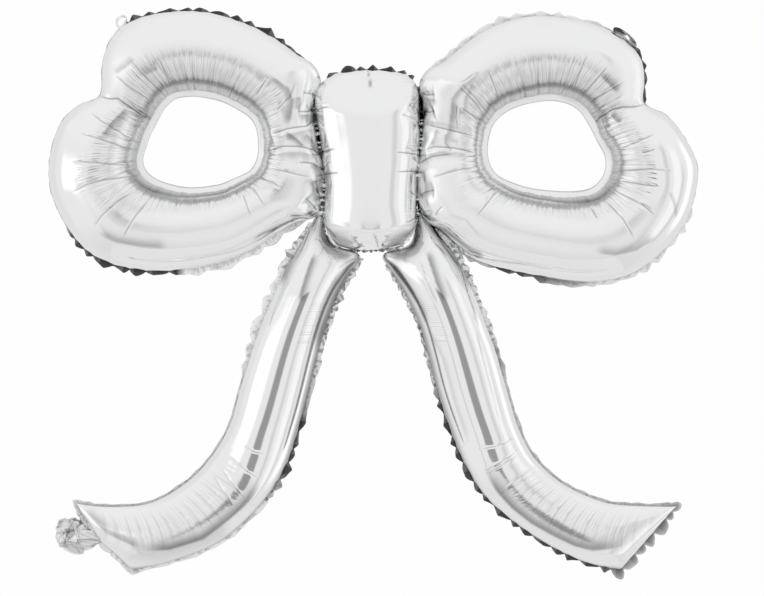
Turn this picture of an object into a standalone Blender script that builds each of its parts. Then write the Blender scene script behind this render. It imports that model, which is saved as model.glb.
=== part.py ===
"""Foil balloon in the shape of a tied bow: two looped chambers, a knot, two tails, their weld margins,
two hanging tabs and the filler neck. The origin is the middle of the knot, on the plane of the weld.
+X is to the right and +Z up as the bow hangs, and its front faces -Y. Sizes are in millimetres until
a mesh is made, and the film, which is far under a tenth of a millimetre, is drawn as a thick shell."""

import bpy
import numpy as np

MM = 0.001
WALL = 10.0
FILM_HALF = 0.6
RIM = FILM_HALF + 0.3
STEPS_PER_SPAN = 12

# Weld margins: how far they run in under the chambers' rims, and out past them.
MARGIN_INSET = 6.0
MARGIN_PEAK = 8.5
MARGIN_VALLEY = 4.5
SCALLOP_PITCH = 19.0
HOLE_MARGIN = 6.5

LOOP_MOST_DEPTH = 44.0
LOOP_STATIONS = 38

# Each loop is notched on its outer side, and its tube folds there in one deep crease.
NOTCH_RUNG = 10
NOTCH_CREASE = 8.0
NOTCH_HALF_WIDTH = 9.0

TAIL_MOST_DEPTH = 35.0
TAIL_STATIONS = 20
TAIL_END_ROUND = 50.0
TAIL_ROOT_ROUND = 12.0
TAIL_HOLLOW_STARTS = 48.0
TAIL_CROWDING = 0.35
KNOT_MOST_DEPTH = 46.0
KNOT_STATIONS = 10
KNOT_END_ROUND = 34.0
KNOT_CROWDING = 0.6
KNOT_TOP_OVERHANG = 6.0
KNOT_TOP_SAG = 8.0
KNOT_FOOT_INSET = 8.0
KNOT_FOOT_REACH = 8.0
KNOT_FOOT_STATIONS = 17
CELLS_ACROSS = 7
PINCH_TOP = 68.0
PINCH_FOOT = -38.0
PINCH_STATIONS = 9

# Each rung is (point on the outer weld, point on the edge of the hole), as (x, z) from the knot.
# A loop starts at its lower corner by the knot and goes round by the outside to the upper corner.
LEFT_LOOP = [
    ((-53, -52), (-123, -12)),
    ((-86, -71), (-137, -19)),
    ((-133, -99), (-155, -26)),
    ((-194, -114), (-184, -29)),
    ((-252, -111), (-209, -24)),
    ((-293, -90), (-223, -17)),
    ((-321, -45), (-230, -8)),
    ((-327, -6), (-231, 2)),
    ((-316, 35), (-227, 15)),
    ((-296, 55), (-223, 26)),
    ((-275, 65), (-217, 37)),
    ((-272, 101), (-210, 50)),
    ((-257, 131), (-200, 60)),
    ((-224, 147), (-189, 63)),
    ((-168, 150), (-173, 63)),
    ((-112, 132), (-151, 58)),
    ((-71, 104), (-133, 49)),
    ((-53, 81), (-122, 41)),
    ((-59, 52), (-116, 30)),
    ((-54, 14), (-114, 13)),
    ((-48, -19), (-116, -1)),
]
RIGHT_LOOP = [
    ((52, -50), (131, -17)),
    ((71, -70), (143, -23)),
    ((107, -93), (161, -29)),
    ((163, -114), (182, -32)),
    ((224, -126), (204, -33)),
    ((275, -113), (224, -30)),
    ((319, -69), (235, -21)),
    ((334, -17), (240, -9)),
    ((326, 12), (239, 4)),
    ((304, 43), (232, 17)),
    ((280, 56), (224, 33)),
    ((280, 81), (219, 41)),
    ((276, 103), (215, 47)),
    ((257, 123), (206, 54)),
    ((224, 139), (194, 58)),
    ((170, 146), (178, 59)),
    ((122, 134), (153, 54)),
    ((79, 103), (135, 45)),
    ((53, 78), (125, 33)),
    ((56, 42), (121, 19)),
    ((53, 9), (120, 7)),
    ((49, -21), (123, -7)),
]
LEFT_LOOP_TOP_CORNER = 17
RIGHT_LOOP_TOP_CORNER = 18

# Each rung is (point on the outer edge, point on the inner edge), from the knot down to the cut end.
LEFT_TAIL = [
    ((-59, -63), (-50, -62)),
    ((-67, -79), (-41, -86)),
    ((-76, -95), (-10, -100)),
    ((-88, -113), (-20, -116)),
    ((-97, -136), (-31, -136)),
    ((-110, -166), (-43, -166)),
    ((-122, -200), (-53, -200)),
    ((-133, -236), (-62, -236)),
    ((-143, -271), (-72, -274)),
    ((-161, -302), (-86, -315)),
    ((-187, -329), (-110, -351)),
    ((-224, -350), (-151, -389)),
    ((-265, -354), (-199, -409)),
    ((-300, -351), (-241, -420)),
]
RIGHT_TAIL = [
    ((60, -69), (50, -66)),
    ((72, -78), (43, -88)),
    ((85, -94), (13, -99)),
    ((95, -111), (22, -115)),
    ((106, -136), (36, -139)),
    ((119, -169), (49, -166)),
    ((130, -200), (59, -200)),
    ((140, -236), (68, -236)),
    ((151, -272), (80, -273)),
    ((167, -303), (95, -309)),
    ((196, -330), (119, -346)),
    ((238, -349), (163, -382)),
    ((275, -353), (211, -408)),
    ((313, -354), (255, -420)),
]
FIRST_TAIL_MARGIN_RUNG = 2

# The knot's rungs run from its left side to its right side, from the top down.
KNOT = [
    ((-37, 87), (37, 87)),
    ((-49, 77), (45, 78)),
    ((-54, 60), (48, 60)),
    ((-52, 36), (49, 36)),
    ((-48, 9), (49, 9)),
    ((-44, -20), (46, -20)),
    ((-44, -47), (45, -47)),
    ((-43, -70), (44, -70)),
    ((-34, -87), (33, -86)),
    ((-20, -92), (18, -91)),
]

# The tabs stand off the top outer corners of the loops; their rungs are counted in the lists above.
LEFT_TAB_AT = 12.25
LEFT_TAB_RADIUS = 6.0
RIGHT_TAB_AT = 12.92
RIGHT_TAB_RADIUS = 5.5
TAB_CLEARANCE = 1.0
TAB_HOLE_RADIUS = 2.5
TAB_SIDES = 20

# The filler neck leaves the left tail's cut end: stations along it as (reach, half width, half depth).
NECK_ALONG_END = 0.43
NECK_SECTIONS = [
    (0.0, 15.0, 1.4),
    (4.0, 12.0, 5.0),
    (9.0, 16.0, 10.0),
    (18.0, 19.0, 13.0),
    (27.0, 18.0, 12.0),
    (34.0, 12.0, 8.0),
    (38.0, 5.0, 3.5),
]
NECK_SIDES = 14
NECK_LUMP = 0.1

SILVER = (0.86, 0.87, 0.88, 1.0)
WELD_GREY = (0.62, 0.63, 0.65, 1.0)


def clear_scene():
    """Removes every object of the open file."""
    for thing in list(bpy.data.objects):
        bpy.data.objects.remove(thing, do_unlink=True)


def finish(name, color, roughness, metallic):
    """A plain metallic finish for one piece."""
    made = bpy.data.materials.new(name)
    made.use_nodes = True
    shader = made.node_tree.nodes["Principled BSDF"]
    shader.inputs["Base Color"].default_value = color
    shader.inputs["Roughness"].default_value = roughness
    shader.inputs["Metallic"].default_value = metallic
    return made


def add_piece(name, points, faces, color, roughness):
    """One named object, with its faces turned outwards by the sign of the volume that they enclose."""
    points = np.asarray(points, float)
    turned = [tuple(int(i) for i in face) for face in faces]
    volume = 0.0
    for face in turned:
        for second, third in zip(face[1:-1], face[2:]):
            volume += np.dot(points[face[0]], np.cross(points[second], points[third]))
    if volume < 0.0:
        turned = [face[::-1] for face in turned]
    mesh = bpy.data.meshes.new(name)
    mesh.from_pydata((points * MM).tolist(), [], turned)
    mesh.materials.append(finish(name, color, roughness, 1.0))
    mesh.shade_smooth()
    mesh.set_sharp_from_angle(angle=0.7)
    thing = bpy.data.objects.new(name, mesh)
    bpy.context.scene.collection.objects.link(thing)
    return thing


def spline(points, closed):
    """Catmull-Rom curve: a cubic between two points, with end slopes half the span of the neighbours."""
    points = np.array(points, float)
    if closed:
        padded = np.vstack([points[-1:], points, points[:2]])
    else:
        padded = np.vstack([2 * points[:1] - points[1:2], points, 2 * points[-1:] - points[-2:-1]])
    spans = len(padded) - 3
    along = np.arange(spans * STEPS_PER_SPAN + 1) / STEPS_PER_SPAN
    index = np.minimum(along.astype(int), spans - 1)
    t = (along - index)[:, None]
    p0, p1, p2, p3 = (padded[index + k] for k in range(4))
    bend = 2 * p0 - 5 * p1 + 4 * p2 - p3
    twist = 3 * (p1 - p2) + p3 - p0
    return p1 + 0.5 * t * (p2 - p0 + t * (bend + t * twist))


def lengths(curve):
    """Distance from the curve's start to each of its points."""
    return np.concatenate([[0.0], np.cumsum(np.linalg.norm(np.diff(curve, axis=0), axis=1))])


def at(curve, ruler, distance):
    """Points of the curve at these readings of its ruler, which rises from its first point to its last."""
    return np.stack([np.interp(distance, ruler, curve[:, k]) for k in range(curve.shape[1])], axis=-1)


def unit(vectors):
    """The same directions at length one."""
    return vectors / np.linalg.norm(vectors, axis=-1, keepdims=True)


def outward_of(edge, inside):
    """At each point, the direction square to the edge that leads away from the point inside."""
    slope = unit(np.gradient(edge, axis=0))
    square = np.stack([-slope[:, 1], slope[:, 0]], axis=-1)
    side = np.sign(np.sum(square * (edge - inside), axis=1, keepdims=True))
    return square * side


def grid_faces(rows, columns, first, closed, flip):
    """Quads of a grid of points whose numbers start at first, wrapped round where it is closed."""
    faces = []
    for r in range(rows if closed else rows - 1):
        below = (r + 1) % rows
        for c in range(columns - 1):
            face = (r * columns + c, r * columns + c + 1, below * columns + c + 1, below * columns + c)
            faces.append(tuple(first + i for i in (face[::-1] if flip else face)))
    return faces


def bulge(edge_a, edge_b, depth, side):
    """Half an ellipse over each rung: the share across is (1 - cos a) / 2 and the height is depth sin a."""
    angle = np.linspace(0.0, np.pi, CELLS_ACROSS + 1)
    across = (1 - np.cos(angle)) / 2
    flat = edge_a[:, None] * (1 - across)[None, :, None] + edge_b[:, None] * across[None, :, None]
    height = depth[:, None] * np.sin(angle)[None, :]
    height[:, [0, -1]] = 0.0
    return np.stack([flat[..., 0], side * (RIM + height), flat[..., 1]], axis=-1)


def half_shell(name, outside, inside, closed, color):
    """Joins the outer and the inner skin of half a chamber along their rims, which lie on the weld."""
    rows, columns = outside.shape[:2]
    count = rows * columns
    faces = grid_faces(rows, columns, 0, closed, False) + grid_faces(rows, columns, count, closed, True)
    if closed:
        outer_rim = [r % rows * columns for r in range(rows + 1)]
        inner_rim = [r % rows * columns + columns - 1 for r in range(rows, -1, -1)]
        rims = [outer_rim, inner_rim]
    else:
        rims = [boundary(rows, columns)]
    for rim in rims:
        for a, b in zip(rim[:-1], rim[1:]):
            faces.append((a, b, b + count, a + count))
    points = np.concatenate([outside.reshape(-1, 3), inside.reshape(-1, 3)])
    return add_piece(name, points, faces, color, 0.12)


def boundary(rows, columns):
    """Numbers of the points round the edge of an open grid, back to the first."""
    first = list(range(0, rows * columns, columns))
    last = [(rows - 1) * columns + c for c in range(1, columns)]
    back = [r * columns + columns - 1 for r in range(rows - 2, -1, -1)]
    top = list(range(columns - 2, 0, -1))
    return first + last + back + top + [0]


def plate(name, outer, inner, middle, closed):
    """Flat strip of film between two lines in the plane of the weld, as thick as both films and their glue."""
    rows = len(outer)
    corners = []
    for line, height in ((outer, -FILM_HALF), (inner, -FILM_HALF), (inner, FILM_HALF), (outer, FILM_HALF)):
        corners.append(np.stack([line[:, 0], np.full(rows, middle + height), line[:, 1]], axis=-1))
    points = np.stack(corners, axis=1).reshape(-1, 3)
    faces = []
    for r in range(rows if closed else rows - 1):
        below = (r + 1) % rows
        for c in range(4):
            around = (c + 1) % 4
            faces.append((r * 4 + c, r * 4 + around, below * 4 + around, below * 4 + c))
    if not closed:
        faces.append((3, 2, 1, 0))
        faces.append(tuple((rows - 1) * 4 + c for c in range(4)))
    return add_piece(name, points, faces, WELD_GREY, 0.3)


def scallops(edge, inside, first, last):
    """Margin line past an edge: it stands out to a peak and a valley by turns, less in a hollow bend."""
    away = outward_of(edge, inside)
    reach = np.where(np.arange(len(edge)) % 2 == 1, MARGIN_PEAK, MARGIN_VALLEY)
    reach[0] = first
    reach[-1] = last
    spacing = np.linalg.norm(np.gradient(edge, axis=0), axis=1)
    closing = -np.sum(np.gradient(away, axis=0) * unit(np.gradient(edge, axis=0)), axis=1)
    hollow = closing * reach > 0.6 * spacing
    reach[hollow] = 0.6 * spacing[hollow] / closing[hollow]
    return edge + away * np.maximum(reach, 1.5)[:, None]


def loop_edges(rungs):
    """The loop's outer weld, its inner weld, the edge of its hole, and a ruler along its middle."""
    outer = spline([rung[0] for rung in rungs], True)
    opening = spline([rung[1] for rung in rungs], True)
    inner = opening + unit(outer - opening) * HOLE_MARGIN
    return outer, inner, opening, lengths((outer + inner) / 2)


def loop_spots(ruler):
    """Even stations round a loop, and in place of those near its notch, three close ones over the crease."""
    notch = ruler[NOTCH_RUNG * STEPS_PER_SPAN]
    even = np.arange(LOOP_STATIONS) * ruler[-1] / LOOP_STATIONS
    even = even[np.abs(even - notch) > 1.6 * NOTCH_HALF_WIDTH]
    spots = np.sort(np.append(even, notch + NOTCH_HALF_WIDTH * np.array([-1.0, 0.0, 1.0])))
    return spots, spots == notch


def make_loop(side_name, rungs, top_corner, color):
    """Front and back shells of one loop, the margin round it, and the margin of its hole."""
    outer, inner, opening, ruler = loop_edges(rungs)
    spots, creased = loop_spots(ruler)
    edge_a = at(outer, ruler, spots)
    edge_b = at(inner, ruler, spots)
    width = np.linalg.norm(edge_a - edge_b, axis=1)
    depth = np.minimum(LOOP_MOST_DEPTH, width / 2) - NOTCH_CREASE * creased
    across = unit(edge_b - edge_a) * WALL
    for face_name, side in (("front", -1.0), ("back", 1.0)):
        outside = bulge(edge_a, edge_b, depth, side)
        inside = bulge(edge_a + across, edge_b - across, depth - WALL, side)
        half_shell(f"{side_name}_loop_{face_name}", outside, inside, True, color)
    stretch = slice(STEPS_PER_SPAN // 3, top_corner * STEPS_PER_SPAN - STEPS_PER_SPAN // 4)
    margin_edge = outer[stretch]
    margin_ruler = lengths(margin_edge)
    count = 2 * int(round(margin_ruler[-1] / SCALLOP_PITCH)) + 1
    spots = np.linspace(0.0, margin_ruler[-1], count)
    edge = at(margin_edge, margin_ruler, spots)
    under = at((outer + unit(inner - outer) * MARGIN_INSET)[stretch], margin_ruler, spots)
    plate(f"{side_name}_loop_seam", scallops(edge, under, 2.0, 2.0), under, 0.0, False)
    hole_line = at(opening, ruler, loop_spots(ruler)[0])
    hole_under = edge_b + unit(edge_a - edge_b) * MARGIN_INSET
    plate(f"{side_name}_hole_seam", hole_under, hole_line, 0.0, True)


def make_pinch(side_name, rungs, top_corner, knot_column):
    """Weld between a loop and the knot: a strip that runs in under the rims of both."""
    heights = np.linspace(PINCH_TOP, PINCH_FOOT, PINCH_STATIONS)
    valley = np.array([rung[0] for rung in rungs[top_corner:] + rungs[:1]], float)
    knot_side = np.array([rung[knot_column] for rung in KNOT[1:-1]], float)
    inward = np.sign(valley[0, 0]) * MARGIN_INSET
    loop_line = np.interp(-heights, -valley[:, 1], valley[:, 0]) + inward
    knot_line = np.interp(-heights, -knot_side[:, 1], knot_side[:, 0]) - inward
    lines = [np.stack([line, heights], axis=-1) for line in (loop_line, knot_line)]
    plate(f"{side_name}_pinch_seam", lines[0], lines[1], 0.0, False)


def rounding(spots, start, end, start_round, end_round):
    """Share of the full depth: a quarter ellipse up from each end of the chamber, one between them."""
    up = np.clip((start + start_round - spots) / start_round, 0.0, 1.0)
    down = np.clip((spots - end + end_round) / end_round, 0.0, 1.0)
    return np.sqrt(1 - up**2) * np.sqrt(1 - down**2)


def eased(start, end, count, crowding):
    """Stations that draw closer towards both ends, as the chamber turns over there."""
    share = (1 - np.cos(np.linspace(0.0, np.pi, count))) / 2
    even = np.linspace(0.0, 1.0, count)
    return start + (end - start) * (crowding * share + (1 - crowding) * even)


def make_pillow(name, rungs, stations, most_depth, rounds, inner_start, crowding, color):
    """Front and back shells of a chamber that closes at both ends, and the lines of its two sides."""
    start_round, end_round = rounds
    edge_a = spline([rung[0] for rung in rungs], False)
    edge_b = spline([rung[1] for rung in rungs], False)
    ruler = lengths((edge_a + edge_b) / 2)
    full = ruler[-1]
    skins = []
    for start, end, wall in ((0.0, full, 0.0), (inner_start, full - WALL, WALL)):
        spots = eased(start, end, stations, crowding)
        a = at(edge_a, ruler, spots)
        b = at(edge_b, ruler, spots)
        width = np.linalg.norm(a - b, axis=1)
        depth = np.minimum(most_depth, width / 2) - wall
        depth *= rounding(spots, start, end, start_round - wall * (start_round > WALL), end_round - wall)
        across = unit(b - a) * wall
        skins.append((a + across, b - across, depth))
    for face_name, side in (("front", -1.0), ("back", 1.0)):
        outside, inside = (bulge(a, b, depth, side) for a, b, depth in skins)
        half_shell(f"{name}_{face_name}", outside, inside, False, color)
    return edge_a, edge_b, ruler


def make_tail(side_name, rungs, color):
    """Shells of one tail and the margin down its outer side, along its cut end and up its inner side."""
    name = f"{side_name}_tail"
    rounds = (TAIL_ROOT_ROUND, TAIL_END_ROUND)
    edge_a, edge_b, ruler = make_pillow(
        name, rungs, TAIL_STATIONS, TAIL_MOST_DEPTH, rounds, TAIL_HOLLOW_STARTS, TAIL_CROWDING, color
    )
    first = FIRST_TAIL_MARGIN_RUNG * STEPS_PER_SPAN
    inset = unit(edge_b - edge_a) * MARGIN_INSET
    stop = ruler[-1] - MARGIN_INSET
    lines = []
    for side, toward in ((edge_a, inset), (edge_b, -inset)):
        start = first + (6 if side is edge_b else 0)
        side_ruler = lengths(side[start:])
        count = 2 * int(round(side_ruler[-1] / SCALLOP_PITCH))
        spots = np.linspace(0.0, side_ruler[-1], count + 1)
        share = np.minimum(at(ruler[start:, None], side_ruler, spots)[:, 0], stop)
        under = at(side + toward, ruler, share)
        lines.append((at(side[start:], side_ruler, spots), under))
    (outer_a, under_a), (outer_b, under_b) = lines
    count = 2 * int(round(np.linalg.norm(outer_a[-1] - outer_b[-1]) / SCALLOP_PITCH))
    share = np.linspace(0.0, 1.0, count + 1)[1:-1, None]
    end_line = outer_a[-1] * (1 - share) + outer_b[-1] * share
    end_under = under_a[-1] * (1 - share) + under_b[-1] * share
    edge = np.concatenate([outer_a, end_line, outer_b[::-1]])
    under = np.concatenate([under_a, end_under, under_b[::-1]])
    line = scallops(edge, under, 3.0, 3.0)
    plate(f"{name}_seam", line, under, 0.0, False)
    return outer_a[-1], outer_b[-1]


def make_knot(color):
    """The knot's shells, its top margin, and the weld under it that both tails hang from."""
    rounds = (KNOT_END_ROUND, KNOT_END_ROUND)
    make_pillow("knot", KNOT, KNOT_STATIONS, KNOT_MOST_DEPTH, rounds, WALL, KNOT_CROWDING, color)
    top_left, top_right = (np.array(point, float) for point in KNOT[0])
    span = top_right[0] - top_left[0] + 2 * KNOT_TOP_OVERHANG
    count = 2 * int(round(span / SCALLOP_PITCH)) + 1
    share = np.linspace(0.0, 1.0, count)
    across = top_left[0] - KNOT_TOP_OVERHANG + share * span
    edge = np.stack([across, top_left[1] - 1.0 - KNOT_TOP_SAG * (2 * share - 1) ** 4], axis=-1)
    under = edge - np.array([0.0, MARGIN_INSET])
    plate("knot_top_seam", scallops(edge, under, 4.0, 4.0), under, 0.0, False)
    left = [rung[0] for rung in KNOT[-4:]]
    right = [rung[1] for rung in KNOT[-4:]]
    edge = spline(left + right[::-1], False)
    ruler = lengths(edge)
    spots = np.linspace(KNOT_FOOT_INSET, ruler[-1] - KNOT_FOOT_INSET, KNOT_FOOT_STATIONS)
    edge = at(edge, ruler, spots)
    away = outward_of(edge, np.array([[0.0, -40.0]]))
    plate("knot_bottom_seam", edge + away * KNOT_FOOT_REACH, edge - away * MARGIN_INSET, 0.0, False)


def make_tab(side_name, rungs, place, radius):
    """Round tab with a punched hole, flat on the front of the margin, just clear of the chamber."""
    outer, inner, _, _ = loop_edges(rungs)
    index = int(round(place * STEPS_PER_SPAN))
    away = outward_of(outer, inner)[index]
    centre = outer[index] + away * (radius + TAB_CLEARANCE)
    angle = np.arange(TAB_SIDES) * 2 * np.pi / TAB_SIDES
    ring = np.stack([np.cos(angle), np.sin(angle)], axis=-1)
    front = -(2 * FILM_HALF + 0.3)
    plate(f"{side_name}_hang_tab", centre + radius * ring, centre + TAB_HOLE_RADIUS * ring, front, True)


def make_neck(corner_a, corner_b, color):
    """Filler neck: flat where it leaves the cut end, then rolled up on itself, as rings of points."""
    along = unit(corner_b - corner_a)
    out = np.array([along[1], -along[0]])
    out *= np.sign(-out[0])
    root = corner_a + (corner_b - corner_a) * NECK_ALONG_END + out * (MARGIN_PEAK + 0.3)
    angle = np.arange(NECK_SIDES) * 2 * np.pi / NECK_SIDES
    rings = []
    for number, (reach, half_width, half_depth) in enumerate(NECK_SECTIONS):
        lump = 1 + NECK_LUMP * np.sin(3 * angle + 1.7 * number) * min(number, 1)
        across = half_width * np.cos(angle) * lump
        centre = root + out * reach
        flat = centre + across[:, None] * along
        rings.append(np.stack([flat[:, 0], half_depth * np.sin(angle) * lump, flat[:, 1]], axis=-1))
    faces = []
    for r in range(len(rings) - 1):
        upper = r * NECK_SIDES
        lower = upper + NECK_SIDES
        for c in range(NECK_SIDES):
            around = (c + 1) % NECK_SIDES
            faces.append((upper + c, upper + around, lower + around, lower + c))
    last = (len(rings) - 1) * NECK_SIDES
    faces.append(tuple(range(NECK_SIDES))[::-1])
    faces.append(tuple(last + c for c in range(NECK_SIDES)))
    add_piece("filler_neck", np.concatenate(rings), faces, color, 0.2)


clear_scene()
make_loop("left", LEFT_LOOP, LEFT_LOOP_TOP_CORNER, SILVER)
make_loop("right", RIGHT_LOOP, RIGHT_LOOP_TOP_CORNER, SILVER)
make_pinch("left", LEFT_LOOP, LEFT_LOOP_TOP_CORNER, 0)
make_pinch("right", RIGHT_LOOP, RIGHT_LOOP_TOP_CORNER, 1)
make_knot(SILVER)
left_end = make_tail("left", LEFT_TAIL, SILVER)
make_tail("right", RIGHT_TAIL, SILVER)
make_neck(*left_end, SILVER)
make_tab("left", LEFT_LOOP, LEFT_TAB_AT, LEFT_TAB_RADIUS)
make_tab("right", RIGHT_LOOP, RIGHT_TAB_AT, RIGHT_TAB_RADIUS)
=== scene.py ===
import bpy
import numpy as np
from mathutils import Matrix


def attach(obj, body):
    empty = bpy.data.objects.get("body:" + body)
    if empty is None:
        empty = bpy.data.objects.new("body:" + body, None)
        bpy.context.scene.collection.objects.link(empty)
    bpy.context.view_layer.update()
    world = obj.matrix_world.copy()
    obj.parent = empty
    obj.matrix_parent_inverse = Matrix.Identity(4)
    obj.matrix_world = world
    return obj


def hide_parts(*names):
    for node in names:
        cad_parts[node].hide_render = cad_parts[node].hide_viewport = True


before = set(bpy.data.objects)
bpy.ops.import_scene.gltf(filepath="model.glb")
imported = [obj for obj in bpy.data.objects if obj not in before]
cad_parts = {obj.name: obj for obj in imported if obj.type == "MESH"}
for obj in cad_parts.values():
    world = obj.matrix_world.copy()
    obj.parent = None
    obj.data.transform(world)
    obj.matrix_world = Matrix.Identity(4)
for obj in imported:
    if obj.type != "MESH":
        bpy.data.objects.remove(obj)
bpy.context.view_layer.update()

MM = 0.001


# The two looped chambers. Each is a front and a back film of silver foil, welded along their edges
# and blown up: the tube stands highest along its middle, and gathers into pleats towards the hole,
# where the flat film has more length than the round tube can take up.

# All sizes are millimetres. Each rung is (point on the outer weld, point on the edge of the hole), as
# (x, z) from the middle of the knot.
LEFT_LOOP = [
    ((-53, -52), (-123, -12)),
    ((-86, -71), (-137, -19)),
    ((-133, -99), (-155, -26)),
    ((-194, -114), (-184, -29)),
    ((-252, -111), (-209, -24)),
    ((-293, -90), (-223, -17)),
    ((-321, -45), (-230, -8)),
    ((-327, -6), (-231, 2)),
    ((-316, 35), (-227, 15)),
    ((-296, 55), (-223, 26)),
    ((-275, 65), (-217, 37)),
    ((-272, 101), (-210, 50)),
    ((-257, 131), (-200, 60)),
    ((-224, 147), (-189, 63)),
    ((-168, 150), (-173, 63)),
    ((-112, 132), (-151, 58)),
    ((-71, 104), (-133, 49)),
    ((-53, 81), (-122, 41)),
    ((-59, 52), (-116, 30)),
    ((-54, 14), (-114, 13)),
    ((-48, -19), (-116, -1)),
]
RIGHT_LOOP = [
    ((52, -50), (131, -17)),
    ((70, -73), (143, -23)),
    ((104, -102), (161, -29)),
    ((162, -118), (182, -32)),
    ((224, -126), (204, -33)),
    ((275, -113), (224, -30)),
    ((319, -69), (235, -21)),
    ((334, -17), (240, -9)),
    ((326, 12), (239, 4)),
    ((304, 43), (232, 17)),
    ((280, 56), (224, 33)),
    ((280, 81), (219, 41)),
    ((276, 103), (215, 47)),
    ((257, 123), (206, 54)),
    ((224, 139), (194, 58)),
    ((170, 146), (178, 59)),
    ((122, 134), (153, 54)),
    ((79, 103), (135, 45)),
    ((53, 78), (125, 33)),
    ((56, 42), (121, 19)),
    ((53, 9), (120, 7)),
    ((49, -21), (123, -7)),
]
HOLE_MARGIN = 6.5
LEVEL_CREST = 32.0
CREST_SHARE = 0.487
CREST_RIDGE = 1.0
CREST_WIDTH = 9.0
LOOP_OVERHANG = 6.8
CORNER_REACH = 5.0
KNOT_SIDE = 76.0
CURVE_STEPS = 150
LOOP_COARSE_ROWS = 300
ROWS_PER_COARSE = 4
CELLS_ACROSS = 64
BACK_STEP = 4
MAP_UNIT = 100.0
DARKEST = 0.03
SOFTEST = 0.34

# Fine creases of the front film, deep folds that run out of the valleys beside the knot, and the fold
# of the notch, each as the line that it follows; and how deep, wide and sharp each kind is, where 2 is a
# round groove and 1 a sharp fold.
FINE_CREASE = (0.5, 1.4, 2)
DEEP_CREASE = (3.4, 6.5, 1)
NOTCH_CREASE = (8.5, 9.0, 1)
# Half width of the line of painted shade along each crease.
CREASE_SHADE_WIDTH = 0.65
LEFT_FINE = [
    ((-258, 83), (-240, 69), (-218, 55)),
    ((-242, 99), (-230, 85), (-207, 62)),
    ((-212, 99), (-202, 77)),
    ((-242, 55), (-219, 38)),
    ((-281, 45), (-268, 35), (-240, 18)),
    ((-291, 24), (-271, 18), (-242, 8)),
    ((-298, -4), (-271, -6), (-239, -8)),
    ((-293, -34), (-281, -27), (-265, -22), (-237, -18)),
    ((-273, -66), (-265, -56), (-250, -42), (-236, -33)),
    ((-246, -78), (-235, -59), (-223, -43)),
    ((-102, -10), (-83, -15), (-66, -18)),
    ((-111, -20), (-98, -25), (-90, -31)),
    ((-119, -29), (-106, -49)),
    ((-128, -37), (-120, -59)),
    ((-115, 62), (-103, 80)),
    ((-94, 47), (-82, 60), (-79, 73)),
    ((-82, -60), (-70, -55), (-61, -51)),
]
LEFT_DEEP = [
    ((-100, 24), (-83, 29), (-68, 31), (-57, 40)),
    ((-107, 7), (-88, 11), (-74, 11), (-63, 9), (-50, 4)),
    ((-76, -4), (-64, -4), (-56, -8), (-48, -11)),
    ((-77, 45), (-66, 45), (-58, 49)),
    ((-72, 63), (-58, 61)),
    ((-60, -20), (-56, -31), (-52, -42)),
    ((-69, -38), (-57, -51)),
]
LEFT_NOTCH = [((-278, 64), (-257, 61), (-248, 55), (-235, 47), (-220, 37))]
RIGHT_FINE = [
    ((286, 23), (271, 16), (251, 8)),
    ((286, 7), (274, 4)),
    ((301, -14), (281, -12), (247, -14)),
    ((286, -29), (271, -27), (251, -23)),
    ((283, -57), (271, -47), (247, -33)),
    ((263, -79), (251, -59), (236, -42)),
    ((227, -59), (222, -49)),
    ((256, 76), (238, 65), (221, 55)),
    ((239, 91), (214, 62)),
    ((218, 102), (211, 85), (205, 67)),
    ((91, 71), (103, 58), (114, 45)),
    ((94, 73), (106, 60), (117, 47)),
    ((92, 73), (101, 81), (110, 86)),
    ((91, 51), (101, 44), (110, 37)),
    ((119, 87), (125, 72), (131, 57)),
    ((68, -19), (81, -15), (92, -12), (107, -10)),
    ((128, -33), (118, -47), (108, -59)),
    ((71, -56), (74, -51), (78, -47)),
    ((88, 56), (87, 40), (89, 27)),
    ((80, 24), (79, 14), (83, 6)),
]
RIGHT_DEEP = [
    ((56, 46), (64, 44), (69, 46)),
    ((59, 33), (74, 29), (92, 25), (105, 22)),
    ((60, 8), (69, 11), (81, 10), (94, 8), (107, 5)),
    ((54, -5), (61, -1), (68, 2), (85, 4)),
    ((55, 64), (60, 61), (70, 61)),
    ((53, -37), (60, -33), (70, -31)),
]
RIGHT_NOTCH = [((282, 56), (256, 51), (243, 47), (231, 40), (226, 32))]

# Pleats of the front film, each row as (how many, height, how far past their start
# they begin, how unevenly, over what share of the half turn they rise, how dark the lines of painted shade
# between them are).
LOOP_PLEATS = [
    (230, 0.2, 0.0, 0.05, 0.05, 0.15),
    (84, 0.5, 0.03, 0.07, 0.15, 0.18),
    (34, 0.8, 0.12, 0.08, 0.25, 0.2),
]

# Pleats of the back film, which are fewer: as above, but with the power of the arch in third place and
# no lines between.
BACK_PLEATS = [
    (90, 0.45, 0.55, 0.05, 0.08, 0.25),
    (36, 1.0, 0.5, 0.1, 0.1, 0.4),
]

# Where the pleats begin, as (rung, share of the half turn from the outer weld to the hole's weld).
LEFT_PLEAT_START = [
    (0, 0.56), (2, 0.64), (4, 0.62), (5, 0.5), (6, 0.46), (8, 0.46), (10, 0.42), (11, 0.42), (13, 0.48),
    (16, 0.5), (18, 0.54), (21, 0.56),
]
RIGHT_PLEAT_START = [
    (0, 0.56), (2, 0.64), (5, 0.64), (6, 0.56), (7, 0.5), (9, 0.48), (10, 0.44), (12, 0.46), (14, 0.5),
    (17, 0.5), (19, 0.54), (22, 0.56),
]
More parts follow.
